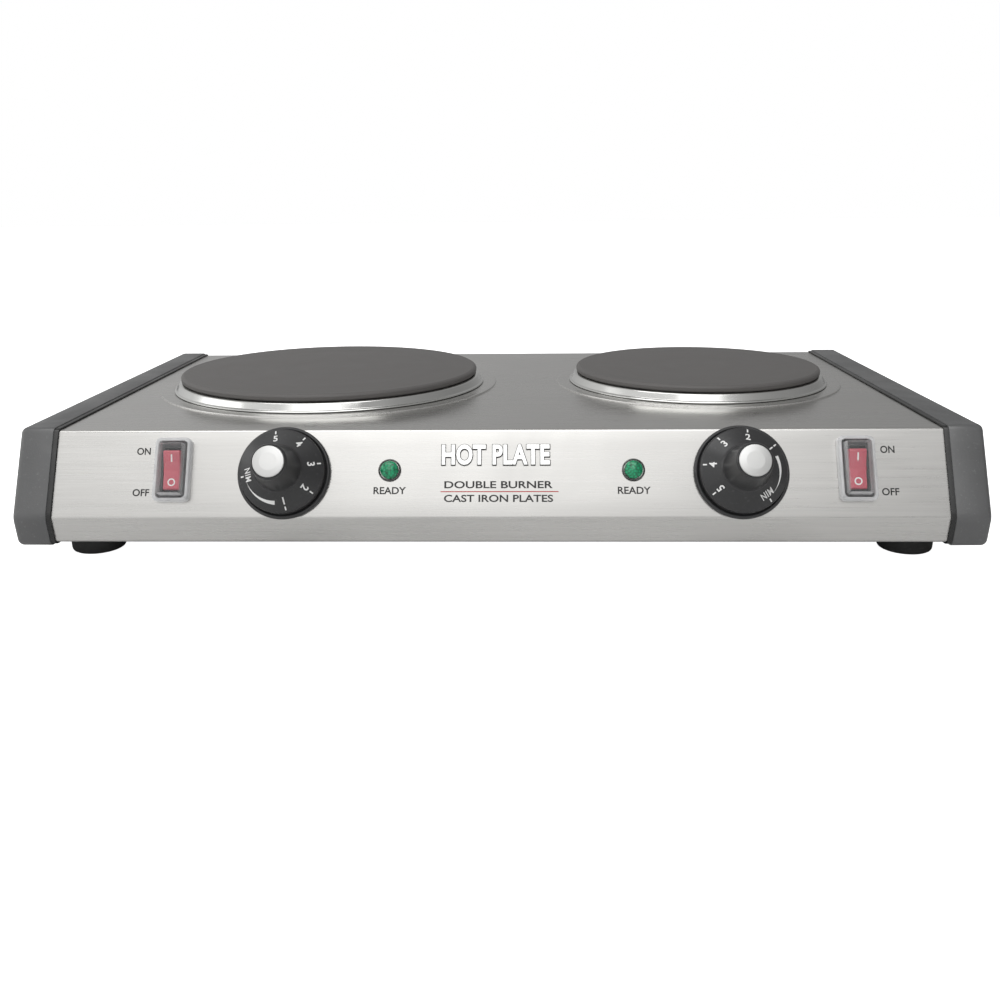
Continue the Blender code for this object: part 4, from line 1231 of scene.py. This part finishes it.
# ------------------------------------------------------------------------------------------ switches
@dataclass
class Switch:
    """Rocker with its marks under a clear splash cover."""

    side: Side
    panel: Panel
    finishes: Finishes
    width: float = 0.0086
    length: float = 0.0206
    top: float = 0.0040
    dip: float = 0.0028
    deep: float = 0.0048
    tilt: float = math.radians(10.0)
    cover: Vector = field(default_factory=lambda: Vector((0.0188, 0.0334, 0.0040)))
    rim: float = 0.0017
    shelf: float = 0.0030
    dome: float = 0.0086
    pin: float = 0.0011
    pin_length: float = 0.0116

    def __post_init__(self) -> None:
        """Reads the rocker's axis."""
        axis = Vector(joint_of(f"rocker_{self.side.word}_rock")["pos_m"])
        self.x = axis.x
        self.up = self.panel.up_of(axis)
        self.out = 0.0004
        self.body = f"switch_rocker_{self.side.word}"

    def seat(self) -> Matrix:
        """The rocker's own axes, tilted as it rests."""
        return self.panel.at(self.x, self.up, self.out) @ Matrix.Rotation(self.tilt, 4, "X")

    def rocker(self) -> None:
        """The red rocker, dished in the middle, with its pivot pin."""
        half = self.length / 2
        side_view = [(half, 0.0), (half, self.top - 0.0010), (half - 0.0008, self.top),
                     (half * 0.35, self.dip + 0.0004), (0.0, self.dip), (-half * 0.35, self.dip + 0.0004),
                     (-half + 0.0008, self.top),
                     (-half, self.top - 0.0010), (-half, 0.0), (-half * 0.62, -self.deep * 0.62),
                     (-half * 0.2, -self.deep), (half * 0.2, -self.deep), (half * 0.62, -self.deep * 0.62)]
        radii = [0.001, 0.0006, 0.0006, 0.004, 0.004, 0.004, 0.0006, 0.0006, 0.001, 0.002, 0.002, 0.002, 0.002]
        bm = drawn(softened(side_view, radii, 4, closed=True), -self.width / 2, self.width / 2)
        rims = rim_edges(bm, self.width / 2, axis=0) + rim_edges(bm, -self.width / 2, axis=0)
        round_off(bm, rims, 0.0003, 2)
        pin = peg(self.pin, self.pin_length, 24)
        pin.transform(Matrix.Rotation(math.pi / 2, 4, "Y"))
        piece(f"switch_{self.side.word}_rocker", joined([bm, pin]), self.finishes["red_rocker"], self.body,
              self.seat(), (f"rocker_{self.side.word}",), 30.0)

    def marks(self) -> None:
        """The white bar on the upper half and the ring on the lower half."""
        half = self.length / 2
        lean = math.atan2(self.top - self.dip, half)
        bar = slab(Vector((0.00075, 0.0042, 0.00010)), 0.0002, 2)
        bar.transform(Matrix.Translation((0, half * 0.62, self.dip + math.tan(lean) * half * 0.62 - 0.00003))
                      @ Matrix.Rotation(lean, 4, "X"))
        ring = spun([(0.00135, 0.0), (0.00200, 0.0), (0.00200, 0.00010), (0.00135, 0.00010)], 40)
        ring.transform(Matrix.Translation((0, -half * 0.60, self.dip + math.tan(lean) * half * 0.60 - 0.00003))
                       @ Matrix.Rotation(-lean, 4, "X"))
        piece(f"switch_{self.side.word}_marks", joined([bar, ring]), self.finishes["white_print"], self.body,
              self.seat())

    def splash_cover(self) -> None:
        """Clear cover: a thick rounded rim, and a domed skin that springs from a shelf inside it."""
        place = self.panel.at(self.x, self.up, GAP)
        wide, long, high = self.cover
        rim = slab(self.cover, 0.0030, 6)
        round_off(rim, rim_edges(rim, high), 0.0008, 3)
        edging = piece(f"switch_{self.side.word}_rim", rim, self.finishes["clear_rim"],
                       crease=50.0)
        hole(edging, slab(Vector((wide - 2 * self.rim, long - 2 * self.rim, 0.02)), 0.0022, 5),
             Matrix.Translation((0, 0, -CUT_DEPTH)))
        edging.data.transform(place)
        edging.data.set_sharp_from_angle(angle=math.radians(50))
        skin = slab(Vector((wide - 2 * self.rim - GAP, long - 2 * self.rim - GAP, self.shelf)), 0.0021, 5)
        lid = [face for face in skin.faces if face.normal.z > 0.9]
        bmesh.ops.inset_region(skin, faces=lid, thickness=0.0012, use_even_offset=True)
        grown = bmesh.ops.extrude_face_region(skin, geom=lid)
        moved = fresh_verts(grown)
        bmesh.ops.delete(skin, geom=lid, context="FACES_ONLY")
        bmesh.ops.translate(skin, verts=moved, vec=(0, 0, self.dome - self.shelf))
        bmesh.ops.scale(skin, vec=(0.93, 0.96, 1), verts=moved)
        round_off(skin, rim_edges(skin, self.dome), 0.0012, 4)
        floor = [face for face in skin.faces if face.normal.z < -0.9]
        bmesh.ops.delete(skin, geom=floor, context="FACES")
        bmesh.ops.recalc_face_normals(skin, faces=skin.faces)
        bmesh.ops.solidify(skin, geom=list(skin.faces), thickness=0.0005)
        piece(f"switch_{self.side.word}_cover", skin, self.finishes["clear_silicone"], at=place,
              stands_for=(f"switch_cover_{self.side.word}",), crease=50.0)


# ------------------------------------------------------------------------------------------ lamps
@dataclass
class Lamp:
    """Ready lamp: domed green lens in a dark bright-edged bezel."""

    side: Side
    panel: Panel
    finishes: Finishes
    bezel_radius: float = 0.0059
    bezel_height: float = 0.0016
    lens_radius: float = 0.0047
    lens_height: float = 0.0038

    def __post_init__(self) -> None:
        """Reads the lamp's place."""
        middle = middle_of(f"lamp_bezel_{self.side.word}")
        self.x, self.up = middle.x, self.panel.up_of(middle)

    def build(self) -> None:
        """The bezel and the lens."""
        inner = self.lens_radius + GAP
        path = [(inner, GAP), (self.bezel_radius, GAP), (self.bezel_radius, 0.0008),
                (self.bezel_radius - 0.0004, 0.0014), (inner + 0.0003, self.bezel_height),
                (inner, self.bezel_height - 0.0002)]
        dark = PolishedSteel(f"lamp_ring_{self.side.word}", self.panel.at(self.x, self.up).translation,
                             self.panel.turn, (0.16, 0.16, 0.16), (0.10, 0.20), 0.05).build()
        piece(f"lamp_{self.side.word}_bezel", spun(softened(path, [0, 0.0002, 0.0004, 0.0004, 0.0001, 0], 4), 64),
              dark, at=self.panel.at(self.x, self.up), stands_for=(f"lamp_bezel_{self.side.word}",))
        reach, rise = self.lens_radius, self.lens_height - self.bezel_height
        dome = [(reach * math.cos(a), self.bezel_height + rise * math.sin(a))
                for a in (math.pi / 2 * step / 12 for step in range(12))]
        stem = 0.0037
        path = [(0, -0.0060), (stem, -0.0060), (stem, GAP), (reach, GAP), *dome, (0, self.lens_height)]
        piece(f"lamp_{self.side.word}_lens", spun(path, 64), self.finishes["green_lens"],
              at=self.panel.at(self.x, self.up), stands_for=(f"lamp_lens_{self.side.word}",))


# ------------------------------------------------------------------------------------------ printing
@dataclass
class Markings:
    """Printed words beside the controls, and the raised generic badge."""

    panel: Panel
    finishes: Finishes
    ink: float = 0.00005
    cap_height: float = 0.0037
    weight: float = 0.00010
    # depth of the wider dark copy under the badge letters, which is a painted shadow outline
    bed: float = 0.0004
    lift: float = 0.00001
    line_x: float = 0.0020
    badge_words: str = "HOT PLATE"
    badge_height: float = 0.0086

    def words(self, name: str, text: str, x: float, up: float, ink: str = "grey_print", widen: float = 1.0,
              height: float | None = None) -> None:
        """Prints one word or line on the panel.

        Args:
            name: the print's name.
            text: what it says.
            x: its middle along the panel.
            up: its middle up the panel from the dials' line.
            ink: the finish that it is printed in.
            widen: its width over the font's own.
            height: of a capital letter, if not the usual.
        """
        bm = lettering(text, height or self.cap_height, self.ink, widen, 1.0, self.weight)
        piece(name, bm, self.finishes[ink], at=self.panel.at(x, up, self.lift))

    def controls(self, lamps: list[Lamp], switches: list[Switch]) -> None:
        """Prints READY under each lamp, and ON and OFF outside each switch.

        Args:
            lamps: the lamps on the panel.
            switches: the switches on the panel.
        """
        for lamp in lamps:
            self.words(f"print_ready_{lamp.side.word}", "READY", lamp.x + 0.0002, -0.0092, widen=1.05)
        for switch in switches:
            sign = switch.side.value
            self.words(f"print_on_{switch.side.word}", "ON", switch.x + sign * 0.0166, 0.0117, widen=0.92)
            self.words(f"print_off_{switch.side.word}", "OFF", switch.x + sign * 0.0166, -0.0101, widen=0.98)

    def product_lines(self) -> None:
        """Two generic lines with a red rule between them."""
        self.words("print_line_upper", "DOUBLE BURNER", self.line_x, -0.0062, widen=1.38)
        self.words("print_line_lower", "CAST IRON PLATES", self.line_x, -0.0133, widen=1.26)
        rule = slab(Vector((0.0606, 0.00050, self.ink)), 0.0002, 2)
        piece("print_rule", rule, self.finishes["red_print"], at=self.panel.at(0.0025, -0.0098, self.lift))

    def badge(self) -> None:
        """Raised plain letters with softened edges, standing for the badge, over a wider dark copy of the words that
        paints their shadow outline.
        """
        low, high = box_of("badge")
        middle = (low + high) / 2
        place = self.panel.at(middle.x, self.panel.up_of(middle), GAP)
        room = Vector((high.x - low.x, (high - low).y / math.sin(self.panel.tilt) * 0.92, 0))
        # painted shadow: a wider, near-black copy of the words under the letters paints the shadow round their edges
        bed = fitted(lettering(self.badge_words, self.badge_height, self.bed, 1.0, 1.04, 0.00078), room)
        piece("badge_bed", bed, self.finishes["black_lip"], at=place)
        bm = fitted(lettering(self.badge_words, self.badge_height, 0.0011, 1.0, 1.04, 0.00045),
                    room - Vector((0.0007, 0.0007, 0)))
        bright = PolishedSteel("badge_steel", self.panel.at(middle.x).translation, self.panel.turn,
                               (0.80, 0.80, 0.79), (0.16, 0.28), 0.02).build()
        made = piece("badge_letters", bm, bright, at=place, stands_for=("badge",))
        soft = made.modifiers.new("soft_edges", "BEVEL")
        soft.width = 0.00022
        soft.segments = 2
        soft.limit_method = "ANGLE"
        soft.angle_limit = math.radians(50)


# ------------------------------------------------------------------------------------------ feet and rear
@dataclass
class Feet:
    """Round rubber feet with a soft sole and a neck."""

    finishes: Finishes
    screw: float = 0.0022
    head: float = 0.0042
    neck: float = 0.0078
    shoulder: float = 0.0088

    def build(self) -> None:
        """One foot for each foot node."""
        for name in ("front_left", "front_right", "rear_left", "rear_right"):
            low, high = box_of(f"foot_{name}")
            middle, reach, height = (low + high) / 2, (high.x - low.x) / 2, high.z
            path = [(self.head, 0), (0.0100, 0), (reach - 0.0004, 0.0002), (reach, self.shoulder - 0.0012),
                    (reach, self.shoulder), (self.neck, self.shoulder), (self.neck, height), (self.screw, height),
                    (self.screw, 0.0071), (self.head, 0.0071)]
            radii = [0, 0, 0.0042, 0.0008, 0.0006, 0, 0, 0, 0, 0]
            piece(f"rubber_foot_{name}", spun(softened(path, radii, 4), 72), self.finishes["black_rubber"],
                  at=Matrix.Translation((middle.x, middle.y, 0)), stands_for=(f"foot_{name}",))


@dataclass
class Inlet:
    """Cord gland in the rear wall, with a ribbed collar and an open bore."""

    finishes: Finishes
    bore: float = 0.0045
    stem: float = 0.0062
    collar: float = 0.0092
    length: float = 0.0120
    head: float = 0.0030
    ribs: int = 24

    def build(self) -> None:
        """The gland."""
        low, high = box_of("cord_gland")
        wall = high.y - self.head
        path = [(self.bore, -self.length), (self.stem, -self.length), (self.stem, GAP), (self.collar, GAP),
                (self.collar, self.head - 0.0009), (self.collar - 0.0009, self.head), (self.bore + 0.0010, self.head),
                (self.bore, self.head - 0.0010)]
        radii = [0, 0.0002, 0, 0.0003, 0.0006, 0.0004, 0.0004, 0.0006]
        bm = spun(softened(path, radii, 4), 4 * self.ribs)
        for vert in bm.verts:
            flat = Vector((vert.co.x, vert.co.y))
            around = math.atan2(flat.y, flat.x) * self.ribs
            if flat.length > self.collar - 0.0005 and vert.co.z > 2 * GAP and math.cos(around) < 0:
                vert.co.x, vert.co.y = flat * (1 - 0.00035 / flat.length)
        middle = (low + high) / 2
        place = Matrix.Translation((middle.x, wall, middle.z)) @ Matrix.Rotation(-math.pi / 2, 4, "X")
        piece("gland_ribbed", bm, self.finishes["dial_black_plastic"], at=place, stands_for=("cord_gland",))


# ------------------------------------------------------------------------------------------ studio
@dataclass
class Studio:
    """Pale floor, soft lights and the camera."""

    heading: float = math.radians(-1.981)
    pitch: float = math.radians(-12.578)
    roll: float = math.radians(-0.640)
    place: tuple[float, float, float] = (0.017204, -0.626783, 0.187169)
    lens: float = 36.878
    shift: tuple[float, float] = (0.006715, -0.078375)
    front: float = 0.82
    back: float = 0.42
    left: float = 1.40
    right: float = 0.50
    zenith: float = 0.80
    box_aim: tuple[float, float, float] = (-0.04, -0.69, 0.72)
    box_edge: float = 0.925
    box_power: float = 1.42
    floor_glow: float = 0.02

    def camera(self) -> None:
        """The camera, level but for a slight roll, looking a little down."""
        forward = Vector((math.sin(self.heading) * math.cos(self.pitch),
                          math.cos(self.heading) * math.cos(self.pitch), math.sin(self.pitch)))
        right = Vector((math.cos(self.heading), -math.sin(self.heading), 0.0))
        up = right.cross(forward)
        tipped_right = right * math.cos(self.roll) + up * math.sin(self.roll)
        tipped_up = up * math.cos(self.roll) - right * math.sin(self.roll)
        turn = Matrix((tipped_right, tipped_up, -forward)).transposed()
        data = bpy.data.cameras.new("camera")
        data.lens = self.lens
        data.sensor_width = 36.0
        data.shift_x, data.shift_y = self.shift
        data.clip_start = 0.02
        camera = bpy.data.objects.new("camera", data)
        camera.matrix_world = Matrix.Translation(self.place) @ turn.to_4x4()
        bpy.context.scene.collection.objects.link(camera)
        bpy.context.scene.camera = camera

    def light(self, name: str, place: tuple[float, float, float], size: tuple[float, float], power: float) -> None:
        """One soft rectangular light that faces the object.

        Args:
            name: the light's name.
            place: its middle.
            size: its width and height.
            power: in watts.
        """
        data = bpy.data.lights.new(name, "AREA")
        data.shape = "RECTANGLE"
        data.size, data.size_y = size
        data.energy = power
        lamp = bpy.data.objects.new(name, data)
        lamp.location = place
        lamp.rotation_euler = (Vector((0, 0, 0.04)) - Vector(place)).to_track_quat("-Z", "Y").to_euler()
        bpy.context.scene.collection.objects.link(lamp)

    def world(self) -> None:
        """White for the camera; for all else a soft sky, brightest in front and above, dimmer behind and right."""
        world = bpy.data.worlds.new("studio")
        world.use_nodes = True
        tree = world.node_tree
        back = tree.nodes["Background"]
        way = wire(tree, "TexCoord").outputs["Generated"]
        parts = wire(tree, "SeparateXYZ", {"Vector": way})
        depth = wire(tree, "MapRange", {"Value": parts.outputs["Y"], "From Min": -1.0, "From Max": 1.0,
                                        "To Min": self.front, "To Max": self.back})
        across = wire(tree, "MapRange", {"Value": parts.outputs["X"], "From Min": -0.8, "From Max": 0.8,
                                         "To Min": self.left, "To Max": self.right})
        high = wire(tree, "MapRange", {"Value": parts.outputs["Z"], "From Min": 0.55, "From Max": 1.0, "To Min": 1.0,
                                       "To Max": self.zenith})
        base = wire(tree, "Math", {0: depth.outputs["Result"], 1: across.outputs["Result"]}, operation="MULTIPLY")
        sky = wire(tree, "Math", {0: base.outputs[0], 1: high.outputs["Result"]}, operation="MULTIPLY")
        aim = wire(tree, "VectorMath", {0: way, 1: Vector(self.box_aim).normalized()}, operation="DOT_PRODUCT")
        glow = wire(tree, "MapRange", {"Value": aim.outputs["Value"], "From Min": self.box_edge, "From Max": 0.995,
                                       "To Min": 0.0, "To Max": self.box_power}, interpolation_type="SMOOTHSTEP")
        whole = wire(tree, "Math", {0: sky.outputs[0], 1: glow.outputs["Result"]}, operation="ADD")
        seen = wire(tree, "LightPath")
        level = wire(tree, "Mix", {"Factor": seen.outputs["Is Camera Ray"], "A": whole.outputs[0], "B": 1.0})
        tree.links.new(level.outputs["Result"], back.inputs["Strength"])
        back.inputs["Color"].default_value = (1.0, 1.0, 1.0, 1.0)
        bpy.context.scene.world = world

    def floor(self) -> None:
        """A wide pale floor, a little self-lit so that it stays near white."""
        bm = bmesh.new()
        bmesh.ops.create_grid(bm, x_segments=8, y_segments=8, size=6.0)
        mesh = bpy.data.meshes.new("floor")
        bm.to_mesh(mesh)
        bm.free()
        board = Board("floor_paper")
        grit = board.group("speckle", Fineness=60.0)
        board.feed("Base Color", board.tint(grit.outputs["Mottle"], (0.74, 0.74, 0.74), (0.78, 0.78, 0.78)))
        board.set(Roughness=0.9, Emission_Color=(1, 1, 1, 1))
        seen = board.node("LightPath")
        board.feed("Emission Strength", board.spread(seen.outputs["Is Camera Ray"], self.floor_glow, 1.0))
        sides = board.node("NewGeometry")
        board.feed("Alpha", board.spread(sides.outputs["Backfacing"], 1.0, 0.0))
        mesh.materials.append(board.material)
        made = bpy.data.objects.new("floor", mesh)
        bpy.context.scene.collection.objects.link(made)

    def build(self) -> None:
        """Everything round the object."""
        bpy.context.scene.view_settings.view_transform = "Standard"
        self.camera()
        self.world()
        self.floor()
        self.light("fill_left", (-1.30, -0.10, 0.60), (0.8, 0.6), 1.5)
        self.light("top", (-0.12, -0.32, 1.20), (1.3, 0.6), 5.0)


def main() -> None:
    """Builds the hot plate's visible pieces round the frame, then the studio."""
    logging.basicConfig(level=logging.INFO)
    finishes = Finishes()
    finishes.dress_frame()
    panel = Panel()
    housing = Housing(panel, finishes)
    burners = [Burner(size, finishes) for size in Size]
    dials = [Dial(side, panel, finishes) for side in Side]
    switches = [Switch(side, panel, finishes) for side in Side]
    lamps = [Lamp(side, panel, finishes) for side in Side]
    shell = housing.shell()
    housing.cut_burners(shell, burners)
    housing.cut_controls(shell, dials, switches, lamps)
    shell.data.shade_smooth()
    shell.data.set_sharp_from_angle(angle=math.radians(38))
    for burner in burners:
        housing.ledge(burner)
        burner.plate()
        burner.ring(housing.top)
    for side in Side:
        EndCap(side, housing, finishes).build()
    for dial in dials:
        dial.bezel()
        dial.knob()
        dial.disc()
        dial.numerals()
    for switch in switches:
        switch.rocker()
        switch.marks()
        switch.splash_cover()
    for lamp in lamps:
        lamp.build()
    markings = Markings(panel, finishes)
    markings.controls(lamps, switches)
    markings.product_lines()
    markings.badge()
    Feet(finishes).build()
    Inlet(finishes).build()
    Studio().build()
    bpy.context.view_layer.update()


if __name__ == "__main__":
    main()
